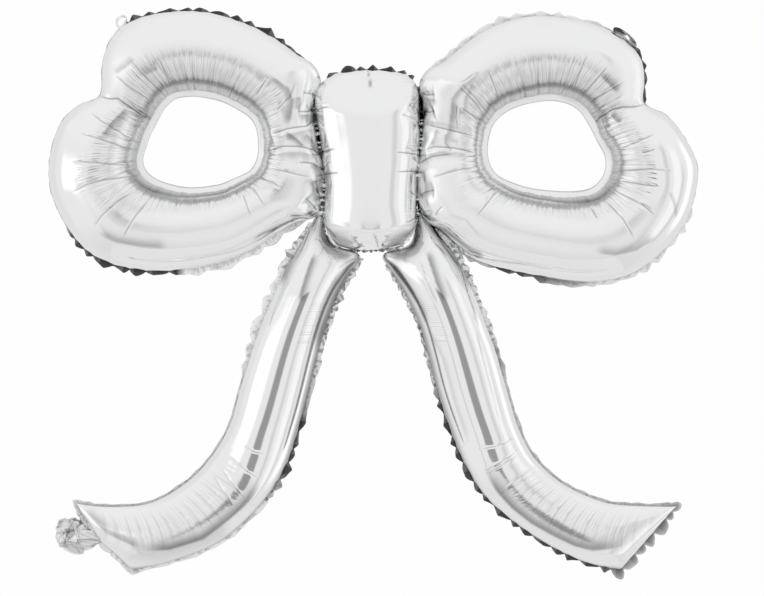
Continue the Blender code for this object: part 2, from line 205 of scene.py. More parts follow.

# Painted shade of the film from the outer weld (0) to the hole's weld (1), above, below and beside the hole:
# its colour darkens towards the hole, where the pleats and the tube's inner side shade it.
SHADE_ABOVE_HOLE = [
    (0, 1), (0.54, 1), (0.6, 0.98), (0.65, 0.95), (0.7, 0.9), (0.74, 0.8), (0.78, 0.62), (0.85, 0.8),
    (0.93, 0.8), (1, 0.75),
]
SHADE_BELOW_HOLE = [
    (0, 1), (0.818, 1), (0.824, 0.56), (0.829, 0.42), (0.838, 0.36), (0.852, 0.42), (0.875, 0.58),
    (0.9, 0.72), (0.93, 0.85), (1, 0.9),
]
SHADE_BESIDE_HOLE = [(0, 1), (0.81, 1), (0.84, 0.88), (0.87, 0.74), (0.92, 0.68), (1, 0.85)]

# Painted shade and painted reflections: soft grey strokes darken the film's colour where a bend of the
# film picks up a dim part of the room or lies in shade. Each is how dark, half its width, and the line that
# it follows, (x, z) from the knot.
LEFT_SHADE_STROKES = [
    (0.42, 6.5, ((-270, -73), (-252, -82), (-228, -88), (-203, -91))),
    (0.5, 3.6, ((-83, 31), (-80, 56), (-84, 68), (-101, 82))),
    (0.55, 3.0, ((-70, 11), (-84, 26))),
    (0.5, 6.0, ((-244, 50), (-258, 36), (-270, 20))),
    (0.3, 5.0, ((-258, 84), (-246, 91), (-236, 99))),
    (0.35, 6.0, ((-228, 82), (-212, 90))),
    (0.25, 4.0, ((-56, 30), (-78, 24), (-98, 19))),
    (0.25, 5.0, ((-54, 1), (-74, 5), (-96, 3))),
    (0.5, 3.2, ((-57, 12), (-57, 24), (-58, 36))),
    (0.45, 5.0, ((-56, 45), (-66, 41), (-76, 41))),
    (0.45, 4.5, ((-76, 46), (-74, 52), (-75, 60))),
    (0.5, 4.5, ((-58, 8), (-63, 16), (-70, 24))),
    (0.5, 5.0, ((-53, -34), (-55, -16), (-62, -2))),
    (0.4, 6.0, ((-60, -44), (-56, -34), (-66, -18))),
]
RIGHT_SHADE_STROKES = [
    (0.4, 6.5, ((224, -91), (245, -94), (266, -90), (286, -78))),
    (0.3, 3.0, ((297, -34), (303, -48), (305, -60))),
    (0.42, 3.2, ((113, 87), (94, 71), (84, 58), (82, 28), (78, 8))),
    (0.3, 3.0, ((104, 76), (96, 60), (94, 40))),
    (0.5, 6.0, ((232, 83), (241, 74), (250, 65))),
    (0.5, 5.0, ((241, 43), (247, 38), (253, 35))),
    (0.16, 4.0, ((98, 28), (78, 33), (58, 36))),
    (0.25, 5.0, ((98, 3), (76, 6), (56, 2))),
    (0.16, 24.0, ((58, 82), (52, 50), (56, 26))),
    (0.4, 3.0, ((72, 28), (70, 20), (66, 12))),
    (0.4, 2.6, ((60, 26), (61, 18), (58, 10))),
    (0.4, 5.0, ((72, 56), (64, 56), (58, 60))),
    (0.4, 6.0, ((56, -10), (62, -24), (60, -40))),
]


def curve_through(points, closed, steps):
    """Curve through the points: between two of them, a cubic whose slope at each is half the way from the
    point before to the point after."""
    points = np.array(points, float)
    if closed:
        padded = np.concatenate([points[-1:], points, points[:2]])
    else:
        padded = np.concatenate([2 * points[:1] - points[1:2], points, 2 * points[-1:] - points[-2:-1]])
    spans = len(padded) - 3
    along = np.arange(spans * steps + 1) / steps
    index = np.minimum(along.astype(int), spans - 1)
    t = (along - index).reshape((-1,) + (1,) * (points.ndim - 1))
    p0, p1, p2, p3 = (padded[index + k] for k in range(4))
    return p1 + 0.5 * t * (p2 - p0 + t * (2 * p0 - 5 * p1 + 4 * p2 - p3 + t * (3 * (p1 - p2) + p3 - p0)))


def lengths(curve):
    """Distance from the curve's start to each of its points."""
    return np.concatenate([[0.0], np.cumsum(np.linalg.norm(np.diff(curve, axis=0), axis=1))])


def at(curve, ruler, distance):
    """Points of the curve at these readings of its ruler."""
    return np.stack([np.interp(distance, ruler, curve[:, k]) for k in range(curve.shape[1])], axis=-1)


def unit(vectors):
    """The same directions at length one."""
    return vectors / np.maximum(np.linalg.norm(vectors, axis=-1, keepdims=True), 1e-9)


def eased(values, closed, rows):
    """Each row averaged with its neighbours by a bell curve that many rows wide."""
    reach = int(3 * rows)
    bell = np.exp(-0.5 * (np.arange(-reach, reach + 1) / rows) ** 2)
    bell /= bell.sum()
    if closed:
        padded = np.pad(values, ((reach, reach), (0, 0)), mode="wrap")
    else:
        padded = np.pad(values, ((reach, reach), (0, 0)), mode="reflect", reflect_type="odd")
    return np.stack([np.convolve(column, bell, mode="valid") for column in padded.T], axis=-1)


def rise(values):
    """Nought below 0, one above 1, and a smooth step between, 3 t squared less 2 t cubed."""
    t = np.clip(values, 0.0, 1.0)
    return t * t * (3 - 2 * t)


def inflated_height(flat, closed):
    """Height of the blown film over its flat cut: the root of twice a sheet whose Laplacian is -1 and
    which is nought on the weld. It is a circle on a long strip, and a pillow at a corner. The sheet is
    found on the grid's triangles by conjugate gradients."""
    rows, columns = flat.shape[:2]
    count = rows * columns
    number = np.arange(count).reshape(rows, columns)
    below = np.roll(number, -1, 0) if closed else number[1:]
    above = number if closed else number[:-1]
    a, b, c, d = above[:, :-1].ravel(), above[:, 1:].ravel(), below[:, 1:].ravel(), below[:, :-1].ravel()
    triangles = np.concatenate([np.stack([a, b, c], 1), np.stack([a, c, d], 1)])
    corner = flat.reshape(-1, 2)[triangles]
    first = corner[:, 1] - corner[:, 0]
    second = corner[:, 2] - corner[:, 0]
    area = np.maximum(0.5 * np.abs(first[:, 0] * second[:, 1] - first[:, 1] * second[:, 0]), 1e-9)
    share = np.zeros(count)
    starts, ends, weights = [], [], []
    for k in range(3):
        share += np.bincount(triangles[:, k], area / 3, count)
        one = corner[:, (k + 1) % 3] - corner[:, k]
        other = corner[:, (k + 2) % 3] - corner[:, k]
        cotangent = np.sum(one * other, axis=1) / (4 * area)
        starts += [triangles[:, (k + 1) % 3], triangles[:, (k + 2) % 3]]
        ends += [triangles[:, (k + 2) % 3], triangles[:, (k + 1) % 3]]
        weights += [cotangent, cotangent]
    starts, ends, weights = (np.concatenate(part) for part in (starts, ends, weights))
    total = np.bincount(starts, weights, count)
    free = np.ones((rows, columns))
    free[:, [0, -1]] = 0.0
    if not closed:
        free[[0, -1]] = 0.0
    free = free.ravel()
    sheet = np.zeros(count)
    rest = share * free
    least = 1e-7 * rest.max()
    scale = free / np.maximum(total, 1e-12)
    step = scale * rest
    worth = rest @ step
    for _ in range(1500):
        pull = free * (total * step - np.bincount(starts, weights * step[ends], count))
        length = worth / (step @ pull)
        sheet += length * step
        rest -= length * pull
        if np.abs(rest).max() < least:
            break
        fresh = rest @ (scale * rest)
        step = scale * rest + fresh / worth * step
        worth = fresh
    return np.sqrt(np.maximum(2 * sheet, 0.0)).reshape(rows, columns)


def wander(along, across, seed, waves, longest, shape=1.0):
    """Soft uneven swell: the mean of random cosines that run along and across, whole waves in each."""
    random = np.random.default_rng(seed)
    total = np.zeros(np.broadcast(along, across).shape)
    for _ in range(waves):
        run = random.integers(-longest, longest + 1)
        cross = random.uniform(-shape, shape)
        total += np.cos(2 * np.pi * (run * along + cross * across + random.uniform()))
    return total / np.sqrt(waves)


def arches(along, across, cells, seed, power, start, spread, length, least=0.4):
    """Pleats side by side: each is an arch, 4 t (1 - t) to a power over its own width, with its own
    height, and it rises from nought past its own start across the film. The second grid is one along the
    lines where two pleats meet, and nought elsewhere."""
    random = np.random.default_rng(seed)
    along = np.reshape(along, (len(along), -1))
    edges = (np.arange(cells + 1) + random.uniform(-0.3, 0.3, cells + 1)) / cells
    edges[0], edges[-1] = 0.0, 1.0
    cell = np.clip(np.searchsorted(edges, along, side="right") - 1, 0, cells - 1)
    t = (along - edges[cell]) / (edges[cell + 1] - edges[cell])
    arch = np.maximum(4 * t * (1 - t), 0.0) ** power
    height = random.uniform(least, 1.4, cells)[cell]
    begin = np.reshape(start, (-1, 1)) + random.uniform(-spread, spread, cells)[cell]
    past = rise((np.atleast_2d(across) - begin) / length)
    line = rise(1 - np.minimum(t, 1 - t) / 0.2) * height
    return arch * height * past, line * past


def beside(points, line):
    """How far each point lies from the line, the nearest stretch of which it lies left of (more than nought)
    or right of (less); and how much of it still shows there, as it fades out towards its ends."""
    line = np.array(line, float)
    ruler = lengths(line)
    nearest = np.full(points.shape[:2], 1e9)
    run = np.zeros(points.shape[:2])
    turn = np.zeros(points.shape[:2])
    for k in range(len(line) - 1):
        along = line[k + 1] - line[k]
        size = ruler[k + 1] - ruler[k]
        off = points - line[k]
        t = np.clip((off @ along) / size**2, 0.0, 1.0)
        distance = np.linalg.norm(off - t[..., None] * along, axis=-1)
        closer = distance < nearest
        nearest = np.where(closer, distance, nearest)
        turn = np.where(closer, along[0] * off[..., 1] - along[1] * off[..., 0], turn)
        run = np.where(closer, (ruler[k] + t * size) / ruler[-1], run)
    return nearest * np.sign(turn), rise(run / 0.2 + 0.15) * rise((1 - run) / 0.2 + 0.15)


def creases(points, lines, depth, width, power):
    """Sunk creases: minus depth times e to minus the distance from the line over the width, to a power,
    fading out towards the line's ends; and the thin dark line of painted shade along each."""
    relief = np.zeros(points.shape[:2])
    crease_shade = np.zeros(points.shape[:2])
    for line in lines:
        off, fade = beside(points, line)
        nearest = np.abs(off)
        relief -= depth * fade * np.exp(-((nearest / width) ** power))
        crease_shade = np.maximum(crease_shade, fade * np.exp(-((nearest / CREASE_SHADE_WIDTH) ** 2)))
    return relief, crease_shade


def painted_shade_strokes(points, strokes):
    """What the painted shade strokes leave of the film's tone: each is darkest on its line, fades as a bell
    curve over its width on the line's left, and ends in a fifth of that on its right, as a facet does at a
    fold."""
    tone = np.ones(points.shape[:2])
    for dark, width, line in strokes:
        off, fade = beside(points, line)
        tone *= 1 - dark * fade * np.exp(-((off / np.where(off > 0, width, 0.2 * width)) ** 2))
    return tone


def square_out(points, closed):
    """Unit normals of a grid of points, from the cross product of its two slopes."""
    if closed:
        along = np.roll(points, -1, 0) - np.roll(points, 1, 0)
    else:
        along = np.gradient(points, axis=0)
    return unit(np.cross(along, np.gradient(points, axis=1)))


def ring_mesh(name, rings, closed, run, around, marks):
    """Closed skin from rings of points: each ring is joined to the next by quads, and the first to the
    last where the tube closes on itself, or else each end ring is filled."""
    rows, columns = rings.shape[:2]
    r, c = np.meshgrid(np.arange(rows if closed else rows - 1), np.arange(columns), indexing="ij")
    this_row = r * columns
    next_row = (r + 1) % rows * columns
    next_column = (c + 1) % columns
    quads = np.stack([this_row + c, this_row + next_column, next_row + next_column, next_row + c], -1)
    corner_run = np.stack([run[r], run[r], run[r + 1], run[r + 1]], -1)
    corner_around = np.stack([around[c], around[c + 1], around[c + 1], around[c]], -1)
    points = rings.reshape(-1, 3)
    triangle = points[quads.reshape(-1, 4)]
    volume = np.sum(triangle[:, 0] * np.cross(triangle[:, 1], triangle[:, 2]))
    volume += np.sum(triangle[:, 0] * np.cross(triangle[:, 2], triangle[:, 3]))
    corners = [quads.reshape(-1)]
    sizes = [np.full(quads.size // 4, 4)]
    texture = [np.stack([corner_run.reshape(-1), corner_around.reshape(-1)], -1)]
    if not closed:
        for end in (np.arange(columns)[::-1], (rows - 1) * columns + np.arange(columns)):
            corners.append(end)
            sizes.append([columns])
            texture.append(np.zeros((columns, 2)))
    corners, sizes, texture = (np.concatenate(part) for part in (corners, sizes, texture))
    if volume < 0:
        corners, texture = corners[::-1], texture[::-1]
        sizes = sizes[::-1]
    mesh = bpy.data.meshes.new(name)
    mesh.vertices.add(len(points))
    mesh.vertices.foreach_set("co", (points * MM).ravel())
    mesh.loops.add(len(corners))
    mesh.loops.foreach_set("vertex_index", corners)
    mesh.polygons.add(len(sizes))
    mesh.polygons.foreach_set("loop_start", np.concatenate([[0], np.cumsum(sizes)[:-1]]))
    mesh.update(calc_edges=True)
    mesh.validate()
    mesh.shade_smooth()
    layer = mesh.uv_layers.new(name="film")
    layer.data.foreach_set("uv", texture.ravel())
    for mark, values in marks.items():
        mesh.attributes.new(mark, "FLOAT", "POINT").data.foreach_set("value", values.ravel())
    thing = bpy.data.objects.new(name, mesh)
    bpy.context.scene.collection.objects.link(thing)
    return thing


def across_share(cells):
    """Shares of the flat width, closer together towards the welds, and the angle round half a tube that
    each one stands at."""
    even = np.linspace(0.0, 1.0, cells + 1)
    share = 0.45 * even + 0.55 * (1 - np.cos(np.pi * even)) / 2
    return np.arccos(1 - 2 * share), share


def chamber(name, flat, height, closed, swell, back_swell, lean, run, marks):
    """One gas chamber: the front film and the back film, each the inflated height off the weld, leaned
    over in the plane of the weld, and then its own swell along its normal, joined along the weld."""
    films = []
    for side, extra in ((-1.0, swell), (1.0, back_swell)):
        x, z = flat[..., 0] + lean[..., 0], flat[..., 1] + lean[..., 1]
        points = np.stack([x, side * height, z], axis=-1)
        normal = square_out(points, closed)
        normal *= np.sign(np.sum(side * normal[..., 1:2], axis=-1, keepdims=True) + 1e-9)
        films.append(points + normal * extra[..., None])
    keep = slice(-1 - BACK_STEP, 0, -BACK_STEP)
    rings = np.concatenate([films[0], films[1][:, keep]], axis=1)
    shares = np.arange(flat.shape[1]) / (flat.shape[1] - 1)
    around = np.concatenate([shares, 2 - shares[keep], [2.0]])
    marks = {mark: np.concatenate([values, values[:, keep]], axis=1) for mark, values in marks.items()}
    return ring_mesh(name, rings, closed, run, around, marks)


def calc(tree, operation, *inputs):
    """One Math node; each input is a number or another node's output."""
    node = tree.nodes.new("ShaderNodeMath")
    node.operation = operation
    for socket, value in zip(node.inputs, inputs):
        if isinstance(value, (int, float)):
            socket.default_value = value
        else:
            tree.links.new(value, socket)
    return node.outputs[0]


def noise(tree, coordinates, scale, detail, stretch=(1, 1, 1)):
    """A Noise Texture on stretched coordinates."""
    mapping = tree.nodes.new("ShaderNodeMapping")
    mapping.inputs["Scale"].default_value = stretch
    tree.links.new(coordinates, mapping.inputs["Vector"])
    node = tree.nodes.new("ShaderNodeTexNoise")
    node.inputs["Scale"].default_value = scale
    node.inputs["Detail"].default_value = detail
    tree.links.new(mapping.outputs[0], node.inputs["Vector"])
    return node.outputs[0]


def new_group(name, inputs, outputs):
    """An empty shader group with these float inputs and outputs."""
    tree = bpy.data.node_groups.new(name, "ShaderNodeTree")
    for label, value in inputs.items():
        socket = tree.interface.new_socket(label, in_out="INPUT", socket_type="NodeSocketFloat")
        socket.default_value = value
    for label in outputs:
        tree.interface.new_socket(label, in_out="OUTPUT", socket_type="NodeSocketFloat")
    return tree, tree.nodes.new("NodeGroupInput"), tree.nodes.new("NodeGroupOutput")


def make_crinkle_group():
    """Crinkled film: ridges where two noises cross their middle value, as sharp folds do in foil, and a
    tone that drifts slowly over the sheet."""
    tree, given, made = new_group("crinkled film", {"Size": 60.0}, ["Height", "Tone"])
    place = tree.nodes.new("ShaderNodeTexCoord").outputs["Object"]
    scaled = tree.nodes.new("ShaderNodeVectorMath")
    scaled.operation = "SCALE"
    tree.links.new(place, scaled.inputs[0])
    tree.links.new(given.outputs["Size"], scaled.inputs["Scale"])
    large = noise(tree, scaled.outputs[0], 1.0, 2.0)
    small = noise(tree, scaled.outputs[0], 3.1, 3.0)
    fold = calc(tree, "ABSOLUTE", calc(tree, "SUBTRACT", large, 0.5))
    crease = calc(tree, "ABSOLUTE", calc(tree, "SUBTRACT", small, 0.5))
    height = calc(tree, "ADD", fold, calc(tree, "MULTIPLY", crease, 0.4))
    tree.links.new(height, made.inputs["Height"])
    tree.links.new(noise(tree, place, 18.0, 2.0), made.inputs["Tone"])
    return tree


GATHER_COARSE = (45, 1.2, 1)
GATHER_FINE = (110, 3.0, 1)


def make_gather_group():
    """Fine gathers that run across a tube: noise on the film's own map, drawn out across the film, and
    the thin lines where it crosses its middle value."""
    tree, given, made = new_group("gathered film", {"Count": 1.0}, ["Height", "Line"])
    place = tree.nodes.new("ShaderNodeUVMap").outputs[0]
    scaled = tree.nodes.new("ShaderNodeVectorMath")
    scaled.operation = "SCALE"
    tree.links.new(place, scaled.inputs[0])
    tree.links.new(given.outputs["Count"], scaled.inputs["Scale"])
    first = noise(tree, scaled.outputs[0], 1.0, 1.0, GATHER_COARSE)
    second = noise(tree, scaled.outputs[0], 1.0, 1.0, GATHER_FINE)
    ridged = calc(tree, "ABSOLUTE", calc(tree, "SUBTRACT", first, 0.5))
    tree.links.new(calc(tree, "ADD", ridged, calc(tree, "MULTIPLY", second, 0.25)), made.inputs["Height"])
    near = calc(tree, "ABSOLUTE", calc(tree, "SUBTRACT", second, 0.5))
    line = calc(tree, "MAXIMUM", calc(tree, "SUBTRACT", 1.0, calc(tree, "MULTIPLY", near, 14.0)), 0.0)
    tree.links.new(line, made.inputs["Line"])
    return tree


CRINKLE = make_crinkle_group()
GATHER = make_gather_group()


def mark_value(tree, name):
    """The value of one of the mesh's own marks."""
    node = tree.nodes.new("ShaderNodeAttribute")
    node.attribute_name = name
    return node.outputs["Fac"]


TONE_DRIFT = 0.06
SHINE_DRIFT = 0.04
# How dark the painted shade is along the gathers' lines.
GATHER_SHADE = 0.22
GATHER_DULLING = 0.1


def foil(name, color, dark, roughness, crinkle_size, crinkle_depth, gather_depth):
    """Metallised film: bright metal whose colour falls to dark where the mark called shade is low, which is
    painted shade and painted reflection, with crinkles all over, gathers where the mark called pleat is
    high, drawn with thin lines of painted shade, and a softer shine where the mark called blur is."""
    made = bpy.data.materials.new(name)
    made.use_nodes = True
    tree = made.node_tree
    shader = tree.nodes["Principled BSDF"]
    shader.inputs["Metallic"].default_value = 1.0
    crinkle = tree.nodes.new("ShaderNodeGroup")
    crinkle.node_tree = CRINKLE
    crinkle.inputs["Size"].default_value = crinkle_size
    gather = tree.nodes.new("ShaderNodeGroup")
    gather.node_tree = GATHER
    pleat = mark_value(tree, "pleat")
    mix = tree.nodes.new("ShaderNodeMix")
    mix.data_type = "RGBA"
    mix.inputs["A"].default_value = (*dark, 1.0)
    mix.inputs["B"].default_value = (*color, 1.0)
    tone = calc(tree, "MULTIPLY", calc(tree, "SUBTRACT", crinkle.outputs["Tone"], 0.5), TONE_DRIFT)
    # Painted shade: the mark called shade and the gathers' lines darken the base colour; the tone drift is
    # the foil's own uneven tint.
    lined = calc(tree, "MULTIPLY", calc(tree, "MULTIPLY", gather.outputs["Line"], pleat), GATHER_SHADE)
    lit = calc(tree, "SUBTRACT", calc(tree, "ADD", mark_value(tree, "shade"), tone), lined)
    tree.links.new(calc(tree, "MAXIMUM", lit, 0.0), mix.inputs["Factor"])
    tree.links.new(mix.outputs["Result"], shader.inputs["Base Color"])
    rough = calc(tree, "MULTIPLY", crinkle.outputs["Tone"], SHINE_DRIFT)
    rough = calc(tree, "ADD", rough, roughness - SHINE_DRIFT / 2)
    rough = calc(tree, "ADD", rough, calc(tree, "MULTIPLY", pleat, GATHER_DULLING))
    rough = calc(tree, "ADD", rough, mark_value(tree, "blur"))
    tree.links.new(rough, shader.inputs["Roughness"])
    gathered = calc(tree, "MULTIPLY", gather.outputs["Height"], pleat)
    height = calc(tree, "MULTIPLY", gathered, gather_depth)
    height = calc(tree, "ADD", height, calc(tree, "MULTIPLY", crinkle.outputs["Height"], crinkle_depth))
    bump = tree.nodes.new("ShaderNodeBump")
    bump.inputs["Distance"].default_value = MM
    tree.links.new(height, bump.inputs["Height"])
    tree.links.new(bump.outputs[0], shader.inputs["Normal"])
    return made


SILVER_FOIL = foil(
    "silver foil",
    color=(0.92, 0.922, 0.925),
    dark=(0.03, 0.031, 0.034),
    roughness=0.09,
    crinkle_size=22.0,
    crinkle_depth=0.06,
    gather_depth=0.4,
)


def fit(piece, material, nodes):
    """Gives a finished piece its material and its body, and hides the parts of model.glb that it stands for.
    """
    piece.data.materials.append(material)
    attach(piece, "root")
    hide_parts(*nodes)


def loop_lines(rungs):
    """The loop's outer weld, its inner weld, the edge of its hole and its rung numbers, at even steps of
    the tube's middle line."""
    outer = curve_through([rung[0] for rung in rungs], True, CURVE_STEPS)
    opening = curve_through([rung[1] for rung in rungs], True, CURVE_STEPS)
    inner = opening + unit(outer - opening) * HOLE_MARGIN
    ruler = lengths((outer + inner) / 2)
    rows = LOOP_COARSE_ROWS * ROWS_PER_COARSE
    spots = np.arange(rows) * ruler[-1] / rows
    rung = np.interp(spots, ruler, np.arange(len(outer)) / CURVE_STEPS)
    outer, inner, opening = (eased(at(line, ruler, spots), True, 5) for line in (outer, inner, opening))
    return outer, inner, opening, spots, ruler[-1], rung


def make_loop(side, rungs, folds, pleat_start, seed):
    """The blown tube of one loop: the inflated height over the flat ring between its two welds, brought to
    one crest height beside the knot. Its normal swell adds wandering, the pleats from near its crest to its
    hole, the creases less their depth, and along the crest of its lower run a ridge that falls off by e to
    minus the distance over its width. It leans out over the weld beside the knot by the sine of twice the
    angle, and at its outer corner by the sine squared."""
    outer, inner, opening, spots, total, rung = loop_lines(rungs)
    fine, deep, notch, strokes = folds
    angle, share = across_share(CELLS_ACROSS)
    flat = outer[:, None] * (1 - share)[None, :, None] + inner[:, None] * share[None, :, None]
    coarse = inflated_height(flat[::ROWS_PER_COARSE], True)
    height = curve_through(coarse, True, ROWS_PER_COARSE)[:-1]
    last = len(rungs)
    level = rise((rung - (last - 4.9)) / 1.2) * rise((last - 1.2 - rung) / 0.8)
    height *= ((LEVEL_CREST / height.max(axis=1)) ** level)[:, None]
    along = spots / total
    across = angle / np.pi
    away = unit(outer - inner)
    valley = rise((KNOT_SIDE - np.abs(outer[:, 0])) / 16)
    over = LOOP_OVERHANG + 0.5 * wander(along, 0.5, seed + 8, 8, 22)
    corner = CORNER_REACH * rise((rung - 3.0) / 1.6) * rise((7.4 - rung) / 1.4)
    reach = (valley * over)[:, None] * np.maximum(np.sin(2 * angle), 0.0)[None] ** 0.7
    lean = away[:, None] * reach[..., None]
    lean += away[:, None] * (corner[:, None] * np.sin(angle)[None] ** 2)[..., None]
    start = np.interp(rung, *np.array(pleat_start, float).T)
    soft = np.sin(angle)[None] ** 0.5
    tuck = rise((1 - across) / 0.06)[None] * 0.8 + 0.2
    pleats, pleat_shade_lines = 0.0, 0.0
    for cells, tall, past, spread, length, dark in LOOP_PLEATS:
        arch, line = arches(along, across, cells, seed + cells, 0.6, start + past, spread, length)
        pleats = pleats + tall * arch
        pleat_shade_lines = pleat_shade_lines + dark * line
    swell = 0.3 * wander(along[:, None], across[None], seed, 14, 12) * soft + (pleats - 0.1) * tuck
    shallow, thin = creases(flat, fine, *FINE_CREASE)
    folded, drawn = creases(flat, deep, *DEEP_CREASE)
    sunk, sharp = creases(flat, notch, *NOTCH_CREASE)
    swell += (shallow + folded) * soft
    swell += np.maximum(sunk * soft, -0.75 * height)
    below = rise((rung - 0.5) / 0.7) * rise((6.6 - rung) / 1.0)
    off_crest = (share - CREST_SHARE)[None] * np.linalg.norm(outer - inner, axis=1)[:, None]
    swell += CREST_RIDGE * np.exp(-np.abs(off_crest) / CREST_WIDTH) * below[:, None]
    swell[:, [0, -1]] = 0.0
    back_swell = 0.5 * wander(along[:, None], across[None], seed + 5, 14, 14) * soft
    for step, (cells, tall, power, past, spread, length) in enumerate(BACK_PLEATS):
        arch = arches(along, across, cells, seed + 6 + step, power, start + past, spread, length)[0]
        back_swell += tall * arch * tuck
    back_swell[:, [0, -1]] = 0.0
    upper = rise((away[:, 1] - 0.2) / 0.6)[:, None]
    lower = rise((-away[:, 1] - 0.2) / 0.6)[:, None]
    # Painted shade: the film's colour darkens towards the hole's weld, beside the knot's valley, along the
    # lines between pleats and the creases, and under the painted strokes.
    tables = (SHADE_ABOVE_HOLE, SHADE_BELOW_HOLE, SHADE_BESIDE_HOLE)
    shade_bands = [np.interp(across, *np.array(table, float).T)[None] for table in tables]
    shade = upper * shade_bands[0] + lower * shade_bands[1] + (1 - upper - lower) * shade_bands[2]
    shade = shade * (1 - 0.55 * valley[:, None] * (1 - rise(across / 0.22))[None])
    shade = shade * (1 - pleat_shade_lines * (0.55 + 0.45 * upper))
    shade = shade * (1 - 0.45 * thin) * (1 - 0.6 * drawn) * (1 - 0.7 * sharp)
    shade = shade * painted_shade_strokes(flat, strokes)
    pleat = rise((across[None] - start[:, None]) / 0.08)
    from_corner = np.where(rung > last / 2, rung - last, rung)
    by_knot = (rise((from_corner + 4.6) / 0.6) * rise((6.6 - from_corner) / 1.0))[:, None] * (1 - upper)
    blur = (0.24 + 0.08 * below[:, None]) * np.exp(-((off_crest / CREST_WIDTH) ** 2)) * by_knot
    blur = blur + 0.2 * np.exp(-(((off_crest - 1) / 8) ** 2)) * upper
    outside = rise((0.5 - across) / 0.1)[None]
    shoulder = rise((rung - 9.8) / 0.5) * rise((13.0 - rung) / 0.6)
    blur += (0.3 * shoulder + 0.1 * valley)[:, None] * outside
    marks = {"shade": np.clip(shade, DARKEST, 1.0), "pleat": pleat, "blur": np.minimum(blur, SOFTEST)}
    run = np.append(spots, total) / MAP_UNIT
    piece = chamber(f"{side}_loop", flat, height, True, swell, back_swell, lean, run, marks)
    fit(piece, SILVER_FOIL, [f"{side}_loop_front", f"{side}_loop_back"])
    return outer, inner, opening, rung, along


LEFT_FOLDS = (LEFT_FINE, LEFT_DEEP, LEFT_NOTCH, LEFT_SHADE_STROKES)
RIGHT_FOLDS = (RIGHT_FINE, RIGHT_DEEP, RIGHT_NOTCH, RIGHT_SHADE_STROKES)
LEFT_LINES = make_loop("left", LEFT_LOOP, LEFT_FOLDS, LEFT_PLEAT_START, 11)
RIGHT_LINES = make_loop("right", RIGHT_LOOP, RIGHT_FOLDS, RIGHT_PLEAT_START, 31)


# The margins of the loops' holes. Both films are welded flat in a ring inside the tube, which is lightly
# drawn up by the pleats that run out of it.
FILM_HALF = 0.25
WELD_INSET = 2.5
HOLE_DISH = 2.2
HOLE_EDGE = 0.1
HOLE_GATHERS = 150
HOLE_MAP_LENGTH = 8.0
WELDED_FOIL = foil(
    "welded foil",
    color=(0.96, 0.963, 0.966),
    dark=(0.012, 0.013, 0.014),
    roughness=0.2,
    crinkle_size=60.0,
    crinkle_depth=0.25,
    gather_depth=0.4,
)


def thin_sheet(name, x, middle, z, half, closed, run, across, shade, pleat, blur):
    """Strip of film: its front and its back stand half its thickness before and behind its middle, and
    meet along both long edges. The back's marks are the front's."""
    front = np.stack([x, middle - half, z], -1)
    back = np.stack([x, middle + half, z], -1)
    rings = np.concatenate([front, back[:, ::-1]], axis=1)
    around = np.concatenate([across, 2 - across[::-1], [2.0]])
    even = np.ones(rings.shape[:2])
    tone = np.concatenate([shade, shade[:, ::-1]], axis=1)
    marks = {"shade": tone, "pleat": pleat * even, "blur": blur * even}
    return ring_mesh(name, rings, closed, run, around, marks)


def make_hole_margin(side, lines, seed):
    """A shallow dish from under the tube's rim to the edge of the hole: its depth falls by the share of the
    way to the power 1.2, and pleats ripple it at its weld."""
    _, inner, opening, _, along = lines
    across = np.linspace(0.0, 1.0, 6)
    start = inner + unit(inner - opening) * WELD_INSET
    flat = start[:, None] * (1 - across)[None, :, None] + opening[:, None] * across[None, :, None]
    gathers = arches(along, 1 - across, HOLE_GATHERS, seed, 0.6, np.zeros(len(along)), 0.2, 0.7)[0]
    ripple = 0.12 * (gathers - 0.4)
    lift = 0.4 * wander(along[:, None], across[None], seed + 1, 8, 9) * across[None]
    middle = -HOLE_DISH + (HOLE_DISH + HOLE_EDGE) * across[None] ** 1.2 - ripple + lift
    x, z = flat[..., 0], flat[..., 1]
    run = np.append(along, 1.0) * HOLE_MAP_LENGTH
    bright = np.ones(x.shape)
    name = f"{side}_hole_margin"
    piece = thin_sheet(name, x, middle, z, FILM_HALF, True, run, across, bright, pleat=0.1, blur=0.2)
    fit(piece, WELDED_FOIL, [f"{side}_hole_seam"])


make_hole_margin("left", LEFT_LINES, 51)
make_hole_margin("right", RIGHT_LINES, 61)


# The loops' outer margins: the weld goes on past the tube as a strip, which puckers into small lobes
# because the blown tube draws its edge in. Some lobes tip back and are painted dark with painted shade,
# others stay pale.
STRIP_CELLS = 7

# Each row is (rung, height of the lobes, height between them, pitch, painted shade at the weld, painted
# shade at the rim, how far they tip back, how crumpled they are).
LEFT_LOOP_MARGIN = [
    (0.4, 2.0, 1.0, 20, 0.5, 0.7, 1.0, 1.0),
    (0.9, 5.5, 3.0, 24, 0.7, 0.8, 2.0, 1.2),
    (1.6, 8.0, 4.0, 28, 0.9, 0.97, 2.0, 0.6),
    (2.9, 8.5, 4.5, 28, 0.9, 0.97, 2.0, 0.5),
    (3.05, 5.5, 0.8, 19, 0.05, 0.08, 3.0, 0.5),
    (4.9, 5.5, 0.8, 17, 0.04, 0.08, 3.0, 0.5),
    (5.3, 4.0, 0.4, 15, 0.06, 0.1, 2.0, 0.5),
    (5.5, 1.2, 0.5, 15, 0.5, 0.6, 1.0, 0.2),
    (12.1, 1.2, 0.5, 17, 0.5, 0.6, 1.0, 0.2),
    (12.35, 5.0, 0.4, 18, 0.04, 0.08, 3.0, 0.5),
    (15.3, 5.8, 0.5, 17, 0.03, 0.06, 3.0, 0.5),
    (15.6, 2.6, 0.9, 14, 0.05, 0.1, 1.5, 0.5),
    (16.8, 2.4, 0.9, 14, 0.08, 0.15, 1.0, 0.8),
]
